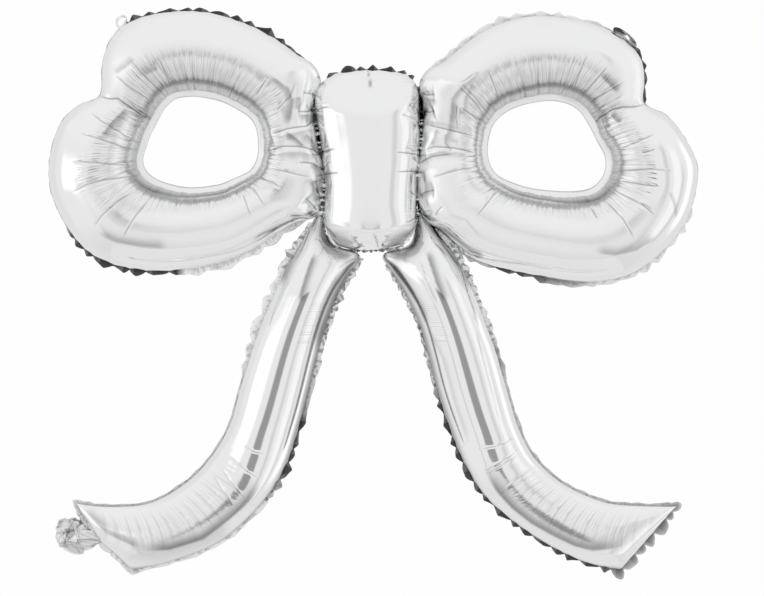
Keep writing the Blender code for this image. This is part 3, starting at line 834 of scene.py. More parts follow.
RIGHT_LOOP_MARGIN = [
    (0.4, 2.0, 1.0, 20, 0.5, 0.6, 1.0, 1.0),
    (1.2, 3.2, 1.2, 18, 0.4, 0.5, 1.5, 1.0),
    (2.3, 3.2, 0.8, 18, 0.5, 0.6, 1.5, 0.8),
    (2.45, 3.8, 0.6, 18, 0.06, 0.1, 2.0, 0.6),
    (3.0, 4.5, 0.8, 22, 0.05, 0.1, 2.5, 0.6),
    (3.5, 7.5, 4.5, 26, 0.2, 0.5, 2.5, 0.6),
    (4.1, 6.5, 3.0, 20, 0.8, 0.95, 2.0, 0.6),
    (5.0, 6.0, 1.8, 18, 0.85, 0.95, 2.0, 0.6),
    (6.1, 4.8, 0.8, 18, 0.85, 0.95, 2.0, 0.5),
    (6.5, 1.2, 0.5, 16, 0.7, 0.8, 1.0, 0.2),
    (9.8, 1.2, 0.5, 16, 0.7, 0.8, 1.0, 0.2),
    (10.1, 4.2, 0.6, 15, 0.05, 0.1, 2.0, 0.5),
    (12.8, 5.5, 0.8, 17, 0.04, 0.08, 2.5, 0.6),
    (13.4, 2.8, 0.8, 18, 0.4, 0.6, 1.5, 0.5),
    (14.2, 3.0, 1.2, 18, 0.85, 0.95, 1.5, 0.3),
    (15.5, 6.6, 2.6, 20, 0.8, 0.92, 1.5, 0.3),
    (17.6, 6.4, 2.6, 20, 0.8, 0.92, 1.5, 0.3),
]


def puckered_strip(name, line, away, place, table, seed, nodes, inset=WELD_INSET, forward=0.0):
    """Strip of welded film along a line: lobes side by side, each reaching out by an arch, one less the
    distance from its middle to a power, one side of it painted darker than the other as a shaded facet, and
    tipping back by the square of the way out, with random crumples on top that are painted darker where
    strong."""
    random = np.random.default_rng(seed)
    table = np.array(table, float)
    columns = [np.interp(place, table[:, 0], table[:, k]) for k in range(1, 8)]
    peak, valley, pitch, shade, rim, tip, crumple = columns
    step = np.append(0.0, np.linalg.norm(np.diff(line, axis=0), axis=1))
    phase = np.cumsum(step / pitch)
    phase += 0.16 * np.sin(2.1 * phase + seed) + 0.08 * np.sin(5.3 * phase)
    phase -= phase.min()
    lobe = phase.astype(int)
    t = phase - lobe
    bend = 0.16 * (random.uniform(-1, 1, lobe[-1] + 1)[lobe]) * np.sin(np.pi * t)
    arch = 1 - np.abs(2 * t - 1) ** np.interp(rim - shade, [0.2, 0.4], [1.25, 2.2])
    size = random.uniform(0.65, 1.2, lobe[-1] + 1)[lobe]
    reach = valley + (peak * size - valley) * arch
    curl = tip * random.uniform(0.5, 1.3, lobe[-1] + 1)[lobe] * (arch - 0.35)
    facet = np.where(t + bend > 0.6, 1.0, 0.0)
    out = np.linspace(0.0, 1.0, STRIP_CELLS)
    # Painted shade and light: the tone runs from the weld's painted shade to the rim's, one facet of each
    # dark lobe is painted lighter, and strong crumples are painted darker.
    tone = shade[:, None] * (1 - out[None] ** 2) + rim[:, None] * out[None] ** 2
    tone = tone + (0.09 * facet * (shade < 0.3))[:, None]
    run = np.cumsum(step)
    flat = line[:, None] + away[:, None] * (-inset + (reach[:, None] + inset) * out[None])[..., None]
    rough = wander(run[:, None] / 90.0, out[None], seed + 1, 12, 14, 0.8)
    folds = np.abs(wander(run[:, None] / 60.0, out[None], seed + 2, 10, 12, 1.2)) - 0.7
    tone = tone * (1 - 0.55 * rise((crumple[:, None] - 1.0) / 0.6) * rise((rough - 0.2) / 0.5))
    middle = np.broadcast_to(forward, len(line))[:, None] + curl[:, None] * out[None] ** 2
    middle = middle + crumple[:, None] * (0.5 * rough + folds) * out[None]
    x, z = flat[..., 0], flat[..., 1]
    run = run / MAP_UNIT
    piece = thin_sheet(name, x, middle, z, FILM_HALF, False, run, out, tone, pleat=0.0, blur=0.06)
    fit(piece, WELDED_FOIL, nodes)


def outward(line, inside, closed=False):
    """Unit directions square to the line in the plane of the weld, away from the points inside."""
    if closed:
        slope = np.roll(line, -1, 0) - np.roll(line, 1, 0)
    else:
        slope = np.gradient(line, axis=0)
    slope = unit(slope)
    square = np.stack([-slope[:, 1], slope[:, 0]], axis=-1)
    return square * np.sign(np.sum(square * (line - inside), axis=1, keepdims=True))


def make_loop_margin(side, lines, table, seed):
    """The puckered strip round one loop, from its lower to its upper corner by the knot."""
    outer, inner, _, rung, _ = lines
    away = outward(outer, inner, True)
    stretch = (rung >= table[0][0]) & (rung <= table[-1][0])
    name, node = f"{side}_loop_margin", f"{side}_loop_seam"
    puckered_strip(name, outer[stretch], away[stretch], rung[stretch], table, seed, [node])


make_loop_margin("left", LEFT_LINES, LEFT_LOOP_MARGIN, 71)
make_loop_margin("right", RIGHT_LINES, RIGHT_LOOP_MARGIN, 81)


# The knot: a short stiff pillow of the same foil, nearly a cylinder between two rounded ends, with fine
# ticks down both flanks and a few creases that run in from the valleys beside it.
KNOT = [
    ((-37, 87), (37, 87)),
    ((-49, 77), (45, 78)),
    ((-54, 60), (48, 60)),
    ((-52, 36), (49, 36)),
    ((-48, 9), (49, 9)),
    ((-44, -20), (46, -20)),
    ((-44, -47), (45, -47)),
    ((-43, -70), (44, -70)),
    ((-34, -87), (33, -86)),
    ((-20, -92), (18, -91)),
]

# Fine and deep creases and painted shade strokes, as on the loops.
KNOT_FINE = [
    ((-49, 47), (-40, 51), (-34, 51)),
    ((-48, 5), (-39, 7), (-28, 8)),
    ((-42, -17), (-33, -16), (-24, -16)),
    ((20, 5), (34, 4), (50, 2)),
    ((20, -15), (34, -14), (50, -14)),
    ((30, -66), (38, -62), (44, -57)),
    ((-2, 92), (-1, 82), (0, 69)),
    ((3, -77), (6, -84), (9, -92)),
    ((-44, -66), (-36, -74), (-32, -82)),
]
KNOT_DEEP = [
    ((25, 44), (38, 40), (50, 31)),
    ((32, 54), (42, 50), (50, 44)),
    ((30, 10), (40, 7), (49, 9)),
    ((34, -14), (44, -16), (50, -14)),
    ((-52, 3), (-42, 6), (-34, 8)),
    ((-48, -14), (-40, -17), (-33, -16)),
]
KNOT_SHADE_STROKES = [
    (0.12, 9.0, ((-48, -60), (-44, -76), (-34, -87), (-18, -92))),
    (0.12, 9.0, ((16, -91), (34, -86), (45, -76), (47, -60))),
    (0.24, 9.0, ((-53, 56), (-50, 36), (-47, 9), (-43, -20), (-42, -60))),
    (0.24, 8.0, ((46, -60), (47, -40), (50, 0), (50, 36), (50, 64))),
]
KNOT_FINE_CREASE = (0.35, 1.2, 2)
KNOT_DEEP_CREASE = (1.3, 5.0, 1)
KNOT_DEPTH = 46.5
KNOT_LEAN = 9.0
KNOT_BOW = 4.0
KNOT_OVERHANG = 7.0
KNOT_TOP_ROUND = 37.0
KNOT_TOP_SAG = 11.0
KNOT_FOOT_ROUND = 25.0
KNOT_FOOT_SAG = -7.0
KNOT_TICKS = 62
KNOT_WAVES = 12
KNOT_ROWS = 560


def ladder(rungs, rows, crowd):
    """The two side lines of a chamber at stations that draw closer towards its ends by the share crowd,
    with the rung numbers and the distance run."""
    first = curve_through([rung[0] for rung in rungs], False, CURVE_STEPS)
    second = curve_through([rung[1] for rung in rungs], False, CURVE_STEPS)
    ruler = lengths((first + second) / 2)
    t = np.linspace(0.0, 1.0, rows)
    spots = ruler[-1] * ((1 - crowd) * t + crowd * (1 - np.cos(np.pi * t)) / 2)
    place = np.interp(spots, ruler, np.arange(len(first)) / CURVE_STEPS)
    first, second = (eased(at(line, ruler, spots), False, 4) for line in (first, second))
    return first, second, spots, place


def make_knot():
    """Half an ellipse across at every height, as deep as the knot but falling to nought near each end by
    (1 - t to the power 1.6) to a root, sooner along its middle at the top; it bulges out over the welds at
    its sides."""
    left, right, spots, _ = ladder(KNOT, KNOT_ROWS, 0.5)
    angle, share = across_share(CELLS_ACROSS)
    flat = left[:, None] * (1 - share)[None, :, None] + right[:, None] * share[None, :, None]
    run = spots / spots[-1]
    from_foot = spots[-1] - spots
    from_end = np.minimum(spots, from_foot)
    bow = KNOT_BOW * (1 - (2 * share - 1) ** 2)
    flat[..., 1] += bow[None] * (rise(1 - spots / 40) - 0.5 * rise(1 - from_foot / 30))[:, None]
    middle = (1 - (2 * share - 1) ** 2) ** 2
    from_top = spots[:, None] / (KNOT_TOP_ROUND + KNOT_TOP_SAG * middle)[None]
    ends = (1 - np.clip(1 - from_top, 0.0, 1.0) ** 1.6) ** 0.6
    foot_share = from_foot[:, None] / (KNOT_FOOT_ROUND + KNOT_FOOT_SAG * middle)[None]
    ends = ends * (1 - np.clip(1 - foot_share, 0.0, 1.0) ** 1.6) ** 0.55
    width = np.linalg.norm(left - right, axis=1) / 2
    depth = np.minimum(KNOT_DEPTH - KNOT_LEAN * (1 - run), 1.32 * width)[:, None] * ends
    full = 1 - 0.35 * rise((46 - from_foot) / 36)
    height = depth * np.maximum(np.sin(angle), 0.0)[None] ** full[:, None]
    height[1:-1, 1:-1] = np.maximum(height[1:-1, 1:-1], 0.2)
    across = angle / np.pi
    flank = 1 - 2 * np.abs(across - 0.5)
    mid = rise(spots / 45) * rise(from_foot / 40)
    over = (KNOT_OVERHANG + 0.35 * wander(run, 0.5, 96, 6, 5)) * rise(spots / 22) * rise(from_foot / 30)
    lean = np.zeros(flat.shape)
    lean[..., 0] = -over[:, None] * np.sign(np.cos(angle))[None] * np.abs(np.sin(2 * angle))[None] ** 0.7
    ticks, ticked = arches(run, 1 - flank, KNOT_TICKS, 91, 0.6, np.full(len(run), 0.42), 0.08, 0.1)
    wide = arches(run, 1 - flank, KNOT_WAVES, 92, 0.5, np.full(len(run), 0.5), 0.08, 0.3)[0]
    swell = 0.035 * ticks * mid[:, None] * rise(flank / 0.2)[None]
    swell += 0.05 * wide * mid[:, None] * np.sin(angle)[None] ** 0.5
    swell += 0.12 * wander(run[:, None], across[None], 93, 10, 3) * np.sin(angle)[None]
    shallow, thin = creases(flat, KNOT_FINE, *KNOT_FINE_CREASE)
    folded, drawn = creases(flat, KNOT_DEEP, *KNOT_DEEP_CREASE)
    swell += (shallow + folded) * np.sin(angle)[None] ** 0.4
    swell *= np.clip(from_end / 4.0, 0.0, 1.0)[:, None]
    swell[:, [0, -1]] = 0.0
    # Painted shade: the film's colour darkens towards both flanks by the pinch valleys, along the ticks and
    # creases, and under the painted strokes.
    shade = 1 - 0.62 * (1 - rise(flank / 0.4))[None] * mid[:, None]
    shade = shade * (1 - 0.1 * ticked) * (1 - 0.6 * thin) * (1 - 0.3 * drawn)
    shade = shade * painted_shade_strokes(flat, KNOT_SHADE_STROKES)
    blur = 0.6 * np.exp(-(((foot_share - 1) / 0.05) ** 2))
    blur = blur + 0.3 * rise((34 - from_foot) / 20)[:, None] * rise((0.8 - flank) / 0.3)[None]
    pleat = 0.1 * rise((0.65 - flank) / 0.1)[None] + np.zeros(shade.shape)
    marks = {"shade": np.clip(shade, DARKEST, 1.0), "pleat": pleat, "blur": blur}
    piece = chamber("knot", flat, height, False, swell, swell, lean, spots / MAP_UNIT, marks)
    fit(piece, SILVER_FOIL, ["knot_front", "knot_back"])
    return left, right


KNOT_SIDES = make_knot()


# The margins of the knot: the welded strip puckers into a row of lobes along its top, painted dark with
# painted shade. At its foot both tails hang from it, and it is squeezed into small bright folds at either
# side, with painted shade along its middle.
KNOT_TOP_HALF = 44.0
KNOT_TOP_HEIGHT = 90.5
KNOT_TOP_DROP = 9.0

# Rows as for the loops' margins, but placed by their share of the edge.
KNOT_TOP_MARGIN = [
    (0.0, 5.5, 0.6, 14, 0.03, 0.07, 2.5, 0.4),
    (1.0, 5.5, 0.6, 14, 0.03, 0.07, 2.5, 0.4),
]
KNOT_FOOT_MARGIN = [
    (0.0, 3.6, 2.2, 4.2, 0.95, 1.0, -1.5, 0.5),
    (0.3, 3.6, 2.2, 4.2, 0.95, 1.0, -1.5, 0.5),
    (0.42, 4.0, 1.5, 6, 0.2, 0.4, -1.5, 1.2),
    (0.58, 4.0, 1.5, 6, 0.2, 0.4, -1.5, 1.2),
    (0.7, 3.6, 2.2, 4.2, 0.95, 1.0, -1.5, 0.5),
    (1.0, 3.6, 2.2, 4.2, 0.95, 1.0, -1.5, 0.5),
]


def make_knot_margins():
    """Strips along the knot's two ends: the top one follows an arc that drops by the distance from its
    middle to the power 2.6, the foot one the knot's own outline."""
    share = np.linspace(0.0, 1.0, 110)
    side = 2 * share - 1
    top = np.stack([KNOT_TOP_HALF * side, KNOT_TOP_HEIGHT - KNOT_TOP_DROP * np.abs(side) ** 2.6], -1)
    away = outward(top, np.array([[0.0, 0.0]]))
    puckered_strip("knot_top_margin", top, away, share, KNOT_TOP_MARGIN, 101, ["knot_top_seam"])
    left = [rung[0] for rung in KNOT[-4:]]
    right = [rung[1] for rung in KNOT[-4:]]
    foot = curve_through(left + right[::-1], False, 60)
    ruler = lengths(foot)
    spots = np.linspace(1.0, ruler[-1] - 1.0, 220)
    foot = eased(at(foot, ruler, spots), False, 3)
    away = outward(foot, np.array([[0.0, -30.0]]))
    share = spots / ruler[-1]
    forward = 2.0 - 17.0 * rise((np.abs(2 * share - 1) - 0.3) / 0.2)
    name, nodes = "knot_foot_margin", ["knot_bottom_seam"]
    puckered_strip(name, foot, away, share, KNOT_FOOT_MARGIN, 102, nodes, inset=0.0, forward=forward)


make_knot_margins()


# The pinch webs: between each loop and the knot the films are welded in a narrow strip, which the two
# chambers squeeze into small sharp folds that catch the light as beads; the film between the beads and
# along the darkest stretches is painted with painted shade. The chambers bulge over it.

# Each row is (height on the valley, painted shade of the beads).
LEFT_BEADS = [(80, 0.1), (45, 0.1), (41, 0.9), (9, 0.9), (5, 0.15), (-8, 0.15), (-11, 1.0), (-60, 1.0)]
RIGHT_BEADS = [
    (80, 0.35), (58, 0.2), (42, 0.08), (37, 0.9), (9, 0.9), (5, 0.15), (-3, 0.15), (-6, 1.0), (-21, 1.0),
    (-25, 0.15), (-36, 0.15), (-40, 1.0), (-60, 1.0),
]
WEB_TOP = 74.0
WEB_FOOT = -58.0
WEB_FOLDS = 28


def make_pinch(side, knot_side, loop_side, beads, seed):
    """A strip between two side lines, bowed forward by the sine of the way across, times arches with a
    short pitch."""
    valley = np.array(loop_side, float)
    heights = np.linspace(WEB_TOP, WEB_FOOT, 260)
    sign = np.sign(valley[0, 0])
    loop_line = np.interp(-heights, -valley[:, 1], valley[:, 0]) + sign * WELD_INSET
    knot_line = np.interp(-heights, -knot_side[:, 1], knot_side[:, 0]) - sign * WELD_INSET
    across = np.linspace(0.0, 1.0, 11)
    run = np.linspace(0.0, 1.0, len(heights))
    x = loop_line[:, None] * (1 - across)[None] + knot_line[:, None] * across[None]
    folds = arches(run, np.ones(11), WEB_FOLDS, seed, 0.7, np.zeros(len(run)), 0.0, 1.0, 0.2)[0]
    lit = np.interp(-heights, *(np.array(beads, float) * np.array([-1, 1])).T)
    middle = -(1.0 + (3.0 + 13.0 * lit[:, None]) * (0.35 + 0.65 * folds) * np.sin(np.pi * across)[None])
    middle += 0.5 * wander(run[:, None], across[None], seed + 1, 12, 30)
    z = heights[:, None] + 0.8 * wander(run[:, None], across[None], seed + 2, 8, 20)
    # Painted shade: the film darkens between the folds' crests and along the dark stretches of the table.
    bright = lit[:, None] * (0.5 + 0.5 * rise((folds - 0.35) / 0.3))
    name, run = f"{side}_pinch_web", heights / MAP_UNIT
    piece = thin_sheet(name, x, middle, z, FILM_HALF, False, run, across, bright, pleat=0.0, blur=0.1)
    fit(piece, WELDED_FOIL, [f"{side}_pinch_seam"])


LEFT_VALLEY = [rung[0] for rung in LEFT_LOOP[17:] + LEFT_LOOP[:1]]
RIGHT_VALLEY = [rung[0] for rung in RIGHT_LOOP[18:] + RIGHT_LOOP[:1]]
make_pinch("left", KNOT_SIDES[0], LEFT_VALLEY, LEFT_BEADS, 111)
make_pinch("right", KNOT_SIDES[1], RIGHT_VALLEY, RIGHT_BEADS, 121)


# The two tails: long tubes that hang from the weld under the knot and curve outwards to a slanting cut
# end, where the films are welded straight across. They pleat along the outside of the bend.
LEFT_TAIL = [
    ((-51, -50), (-45.5, -53)),
    ((-67, -79), (-39, -85)),
    ((-76, -95), (-10, -97.5)),
    ((-88, -113), (-20, -116)),
    ((-97, -136), (-31, -136)),
    ((-110, -166), (-43, -166)),
    ((-122, -200), (-53, -200)),
    ((-133, -236), (-62, -236)),
    ((-143, -271), (-72, -274)),
    ((-161, -302), (-86, -315)),
    ((-187, -329), (-110, -351)),
    ((-224, -350), (-151, -389)),
    ((-265, -354), (-199, -409)),
    ((-300, -351), (-241, -420)),
]
RIGHT_TAIL = [
    ((51, -50), (46.5, -54)),
    ((72, -78), (41, -86)),
    ((85, -94), (13, -97)),
    ((95, -111), (22, -115)),
    ((106, -136), (36, -139)),
    ((119, -169), (49, -166)),
    ((130, -200), (59, -200)),
    ((140, -236), (68, -236)),
    ((151, -272), (80, -273)),
    ((167, -303), (95, -309)),
    ((196, -330), (119, -346)),
    ((238, -349), (163, -382)),
    ((275, -353), (211, -408)),
    ((313, -354), (255, -420)),
]

# Creases of the front film, as on the loops.
LEFT_TAIL_CREASES = [
    ((-127, -291), (-120, -296), (-108, -299)),
    ((-143, -299), (-137, -308), (-130, -315), (-118, -322)),
    ((-154, -312), (-148, -326), (-135, -343)),
    ((-163, -320), (-157, -334), (-148, -349)),
    ((-45, -90), (-53, -101)),
    ((-57, -82), (-49, -83)),
    ((-11, -100), (-23, -106), (-33, -113)),
    ((-41, -98), (-39, -105)),
    ((-36, -98), (-33, -106)),
]
RIGHT_TAIL_CREASES = [
    ((113, -294), (129, -291), (146, -284)),
    ((121, -316), (136, -307), (151, -296)),
    ((123, -319), (138, -310), (153, -299)),
    ((138, -341), (152, -328), (166, -314)),
    ((108, -174), (119, -219), (131, -269)),
    ((46, -82), (54, -88)),
    ((51, -104), (58, -127), (68, -149)),
    ((36, -97), (35, -104)),
]

# Painted shade strokes, as on the loops. The longest is a painted reflection of the dim line that each
# tail's bend picks up.
LEFT_BEND = ((-238, -388), (-210, -388), (-177, -379), (-153, -361), (-131, -344), (-115, -327))
LEFT_TAIL_SHADE_STROKES = [
    (0.5, 8.0, ((-15, -99), (-30, -97), (-42, -90), (-48, -78), (-49, -58))),
    (0.3, 7.0, ((-31, -114), (-42, -136), (-51, -160), (-58, -189))),
    (0.6, 5.0, ((-54, -199), (-47, -173), (-35, -141), (-14, -103))),
    (0.6, 5.0, ((-60, -62), (-72, -84), (-83, -106), (-93, -130))),
    (0.6, 5.0, ((-56, -96), (-62, -112), (-67, -128), (-72, -146))),
    (0.6, 9.0, LEFT_BEND),
    (0.2, 22.0, ((-150, -361), (-178, -379), (-212, -388), (-250, -384))),
    (0.35, 5.0, ((-292, -356), (-272, -374), (-240, -386))),
]
RIGHT_BEND = (
    (120, -312), (136, -333), (154, -351), (172, -365), (194, -376), (215, -385), (233, -388), (268, -383),
)
RIGHT_TAIL_SHADE_STROKES = [
    (0.5, 8.0, ((49, -57), (49, -74), (45, -89), (34, -97), (18, -97))),
    (0.5, 5.0, ((18, -104), (37, -130), (49, -149), (57, -169))),
    (0.2, 3.0, ((57, -169), (74, -204), (86, -249), (100, -290))),
    (0.6, 5.0, ((105, -134), (94, -112), (76, -88), (60, -64))),
    (0.6, 5.0, ((57, -94), (62, -110), (68, -128), (75, -146))),
    (0.6, 9.0, RIGHT_BEND),
]

# How far each tail's cut end swells past the straight line between its corners, by share across.
LEFT_END_SWELL = [(0, 0), (0.24, 5.3), (0.42, 9.4), (0.57, 6.8), (0.715, 3.6), (0.88, 2.0), (1, 0)]
RIGHT_END_SWELL = [(0, 0), (1, 0)]

TAIL_CREASE = (0.4, 1.2, 2)
TAIL_CREST = 33.3
TAIL_BEND_LEAN = 12.0
TAIL_FINE_PLEATS = 120
TAIL_WIDE_PLEATS = 44
TAIL_TICKS = 200
TAIL_ROOT_RIDGES = 11
TAIL_COARSE_ROWS = 191
TAIL_CELLS = 56


def make_tail(side, rungs, lines, strokes, end_swell, seed):
    """The blown tube of one tail: the inflated height over the flat strip between its two welds, brought to
    one crest height from the knot to the bend. Its normal swell adds wandering, ridges along its root, fine
    ticks down its inner flank and cross pleats over the bend, where it leans to the bend's outside by the
    sine squared of the angle."""
    outer, inner, spots, place = ladder(rungs, TAIL_COARSE_ROWS * ROWS_PER_COARSE - 3, 0.3)
    angle, share = across_share(TAIL_CELLS)
    flat = outer[:, None] * (1 - share)[None, :, None] + inner[:, None] * share[None, :, None]
    past = np.interp(share, *np.array(end_swell, float).T)
    onward = unit((outer + inner)[-1] - (outer + inner)[-40])
    flat += rise((place - 11.6) / 1.4)[:, None, None] * past[None, :, None] * onward
    coarse = inflated_height(flat[::ROWS_PER_COARSE], False)
    height = np.maximum(curve_through(coarse, False, ROWS_PER_COARSE), 0.0)
    level = rise((place - 2.8) / 1.4) * rise((10.2 - place) / 1.6)
    height *= ((TAIL_CREST / np.maximum(height.max(axis=1), 10.0)) ** level)[:, None]
    height[[0, -1], 1:-1] = 0.2
    along = spots / spots[-1]
    across = angle / np.pi
    soft = np.sin(angle)[None] ** 0.5
    bend = (rise((place - 8.6) / 1.6) * rise((13.0 - place) / 0.8))[:, None]
    straight = (rise((place - 4.2) / 0.3) * rise((5.9 - place) / 0.3))[:, None]
    inside = rise((across - 0.12) / 0.2) * rise((0.66 - across) / 0.22)
    upper = inside * rise((0.5 - across) / 0.12)
    off_crest = rise((np.abs(across - 0.5) - 0.06) / 0.08)[None] * rise((9.8 - place) / 0.6)[:, None]
    off_crest = off_crest + rise((place - 9.2) / 0.6)[:, None]
    flank = rise((across - 0.58) / 0.03) * rise((0.76 - across) / 0.04)
    start = np.full(len(along), 0.05)
    root = rise((3.6 - place) / 1.5)[:, None]
    middle = (outer + inner) / 2
    ahead = unit(np.gradient(middle, axis=0))
    square = along[:, None] + np.sum((flat - middle[:, None]) * ahead[:, None], axis=-1) / spots[-1]
    fine_pleat, fine_line = arches(square, across, TAIL_FINE_PLEATS, seed + 1, 0.6, start, 0.05, 0.2)
    wide_pleat, wide_line = arches(square, across, TAIL_WIDE_PLEATS, seed + 2, 0.55, start, 0.05, 0.3)
    tick, tick_line = arches(along, across, TAIL_TICKS, seed + 3, 0.6, start, 0.05, 0.2)
    from_root = np.zeros(len(across))
    ridge, ridge_line = arches(across, np.ones(1), TAIL_ROOT_RIDGES, seed + 5, 0.6, from_root, 0.0, 1.0)
    swell = 0.12 * wander(along[:, None], across[None], seed, 10, 4) * soft
    swell += (0.1 * fine_pleat + 0.26 * wide_pleat) * bend * upper[None] * off_crest
    swell += 0.1 * tick * straight * flank[None]
    swell += 0.15 * ridge.T * root * soft
    swell += 0.05 * wander(along[:, None], across[None], seed + 6, 12, 1, 9.0) * soft
    relief, thin = creases(flat, lines, *TAIL_CREASE)
    swell += relief * soft
    ends = np.clip(np.minimum(spots, spots[-1] - spots) / 6.0, 0.0, 1.0)[:, None]
    swell *= ends
    swell[:, [0, -1]] = 0.0
    # Painted shade: the film darkens along its inner flank, along the lines of the pleats, ticks and root
    # ridges, along the creases and under the painted strokes.
    shade = 1 - (0.42 + 0.26 * rise((place - 2.8) / 0.8))[:, None] * rise((across - 0.8) / 0.12)[None]
    shade = shade * (1 - (0.14 * fine_line + 0.16 * wide_line) * bend * inside[None] * off_crest)
    shade = shade * (1 - 0.22 * tick_line * straight * flank[None]) * (1 - 0.22 * thin)
    shade = shade * (1 - 0.05 * ridge_line.T * root) * painted_shade_strokes(flat, strokes)
    pleat = bend * inside[None] * off_crest * 0.4
    back_swell = 0.4 * wander(along[:, None], across[None], seed + 4, 10, 6) * soft * ends
    marks = {"shade": np.clip(shade, DARKEST, 1.0), "pleat": pleat, "blur": np.zeros(shade.shape)}
    outwards = TAIL_BEND_LEAN * rise((place - 8.0) / 2.4) * rise((13.2 - place) / 1.0)
    lean = unit(inner - outer)[:, None] * (outwards[:, None] * np.sin(angle)[None] ** 2)[..., None]
    run = spots / MAP_UNIT
    piece = chamber(f"{side}_tail", flat, height, False, swell, back_swell, lean, run, marks)
    fit(piece, SILVER_FOIL, [f"{side}_tail_front", f"{side}_tail_back"])
    return outer, inner, place, flat[-1]


LEFT_MARKS = (LEFT_TAIL_CREASES, LEFT_TAIL_SHADE_STROKES)
RIGHT_MARKS = (RIGHT_TAIL_CREASES, RIGHT_TAIL_SHADE_STROKES)
LEFT_TAIL_LINES = make_tail("left", LEFT_TAIL, *LEFT_MARKS, LEFT_END_SWELL, 131)
RIGHT_TAIL_LINES = make_tail("right", RIGHT_TAIL, *RIGHT_MARKS, RIGHT_END_SWELL, 141)


# The tails' margins run down the outer side, across the cut end and up the inner side in one strip.
# Near the knot they are crumpled and pale, along the inner side they pucker into lobes painted dark with
# painted shade.

# Rows as for the loops' margins. Places count rungs down the outer side, then 13 to 14 across the end,
# then on up the inner side.
LEFT_TAIL_MARGIN = [
    (0.5, 3.0, 2.0, 9, 0.8, 0.9, 1.0, 1.4),
    (1.4, 9.0, 5.0, 12, 0.8, 0.9, 1.5, 1.7),
    (2.8, 9.0, 5.0, 14, 0.8, 0.95, 1.5, 1.6),
    (3.4, 8.0, 3.0, 22, 0.85, 0.97, 2.0, 0.8),
    (5.9, 8.0, 3.5, 24, 0.85, 0.97, 2.0, 0.6),
    (6.8, 2.5, 1.5, 20, 0.6, 0.7, 1.0, 0.3),
    (12.4, 2.5, 1.5, 20, 0.5, 0.6, 1.0, 0.3),
    (12.9, 6.0, 3.0, 9, 0.55, 0.8, 2.0, 1.2),
    (13.2, 5.0, 3.0, 12, 0.5, 0.8, 2.0, 1.0),
    (13.5, 5.0, 4.0, 16, 0.75, 0.9, 1.0, 0.4),
    (14.0, 5.0, 4.0, 16, 0.75, 0.9, 1.0, 0.4),
    (14.5, 3.0, 2.0, 24, 0.85, 0.95, 1.0, 0.2),
    (16.8, 4.5, 3.0, 30, 0.9, 0.96, 1.0, 0.2),
    (17.2, 5.5, 2.5, 14, 0.7, 0.85, 1.5, 1.4),
    (17.9, 6.0, 0.6, 15, 0.04, 0.08, 2.5, 0.6),
    (19.2, 5.2, 1.0, 20, 0.05, 0.08, 2.0, 0.6),
    (19.6, 5.0, 3.5, 22, 0.4, 0.6, 1.0, 0.6),
    (21.0, 5.5, 3.5, 16, 0.8, 0.9, 1.0, 1.5),
    (24.0, 6.5, 3.5, 12, 0.75, 0.9, 1.0, 2.0),
    (24.8, 4.0, 2.0, 10, 0.6, 0.7, 1.0, 1.2),
]
RIGHT_TAIL_MARGIN = [
    (0.5, 3.0, 2.0, 8, 0.6, 0.8, 1.0, 1.4),
    (1.4, 6.0, 4.0, 9, 0.7, 0.85, 1.5, 1.8),
    (2.2, 5.0, 3.0, 9, 0.8, 0.9, 1.5, 1.9),
    (3.5, 5.5, 3.0, 12, 0.8, 0.9, 1.5, 1.8),
    (5.4, 5.5, 3.0, 14, 0.75, 0.9, 1.5, 1.6),
    (5.9, 4.8, 2.5, 16, 0.2, 0.4, 1.5, 0.9),
    (6.8, 3.5, 2.0, 20, 0.6, 0.7, 1.0, 0.3),
    (12.5, 2.5, 1.5, 20, 0.5, 0.6, 1.0, 0.3),
    (12.9, 6.5, 3.0, 13, 0.3, 0.6, 2.5, 0.8),
    (13.05, 8.5, 1.0, 15, 0.15, 0.62, 3.0, 0.3),
    (14.0, 8.5, 1.0, 15, 0.15, 0.62, 3.0, 0.3),
    (14.4, 4.8, 0.4, 17, 0.05, 0.08, 2.5, 0.5),
    (19.6, 4.5, 0.4, 18, 0.04, 0.08, 2.5, 0.5),
    (20.2, 4.5, 2.0, 14, 0.6, 0.7, 1.5, 1.4),
    (24.4, 3.5, 1.5, 10, 0.75, 0.85, 1.0, 1.4),
]
TAIL_LAST_RUNG = 13
TAIL_STRIP_ROWS = 1000


def make_tail_margin(side, lines, table, seed):
    """One strip round the tail: down the outer weld, over the end and back up the inner weld."""
    outer, inner, place, cut = lines
    turn_back = 2 * TAIL_LAST_RUNG + 1
    down = place >= table[0][0]
    up = place >= turn_back - table[-1][0]
    share = np.linspace(0.0, 1.0, len(cut))[1:-1]
    line = np.concatenate([outer[down], cut[1:-1], inner[up][::-1]])
    spot = np.concatenate([place[down], TAIL_LAST_RUNG + share, turn_back - place[up][::-1]])
    ruler = lengths(line)
    even = np.linspace(0.0, ruler[-1], TAIL_STRIP_ROWS)
    spot = np.interp(even, ruler, spot)
    line = at(line, ruler, even)
    beside_it = np.where(spot > TAIL_LAST_RUNG + 1, turn_back - spot, np.minimum(spot, TAIL_LAST_RUNG - 0.4))
    inside = at((outer + inner) / 2, place, beside_it)
    away = eased(outward(line, inside), False, 5)
    puckered_strip(f"{side}_tail_margin", line, unit(away), spot, table, seed, [f"{side}_tail_seam"])


make_tail_margin("left", LEFT_TAIL_LINES, LEFT_TAIL_MARGIN, 151)
make_tail_margin("right", RIGHT_TAIL_LINES, RIGHT_TAIL_MARGIN, 161)


# The hanging tabs: a thin bare ring of film on the left loop, and on the right one a low tab that is
# folded over along the outline; each is cut from the welded film and has a punched hole.

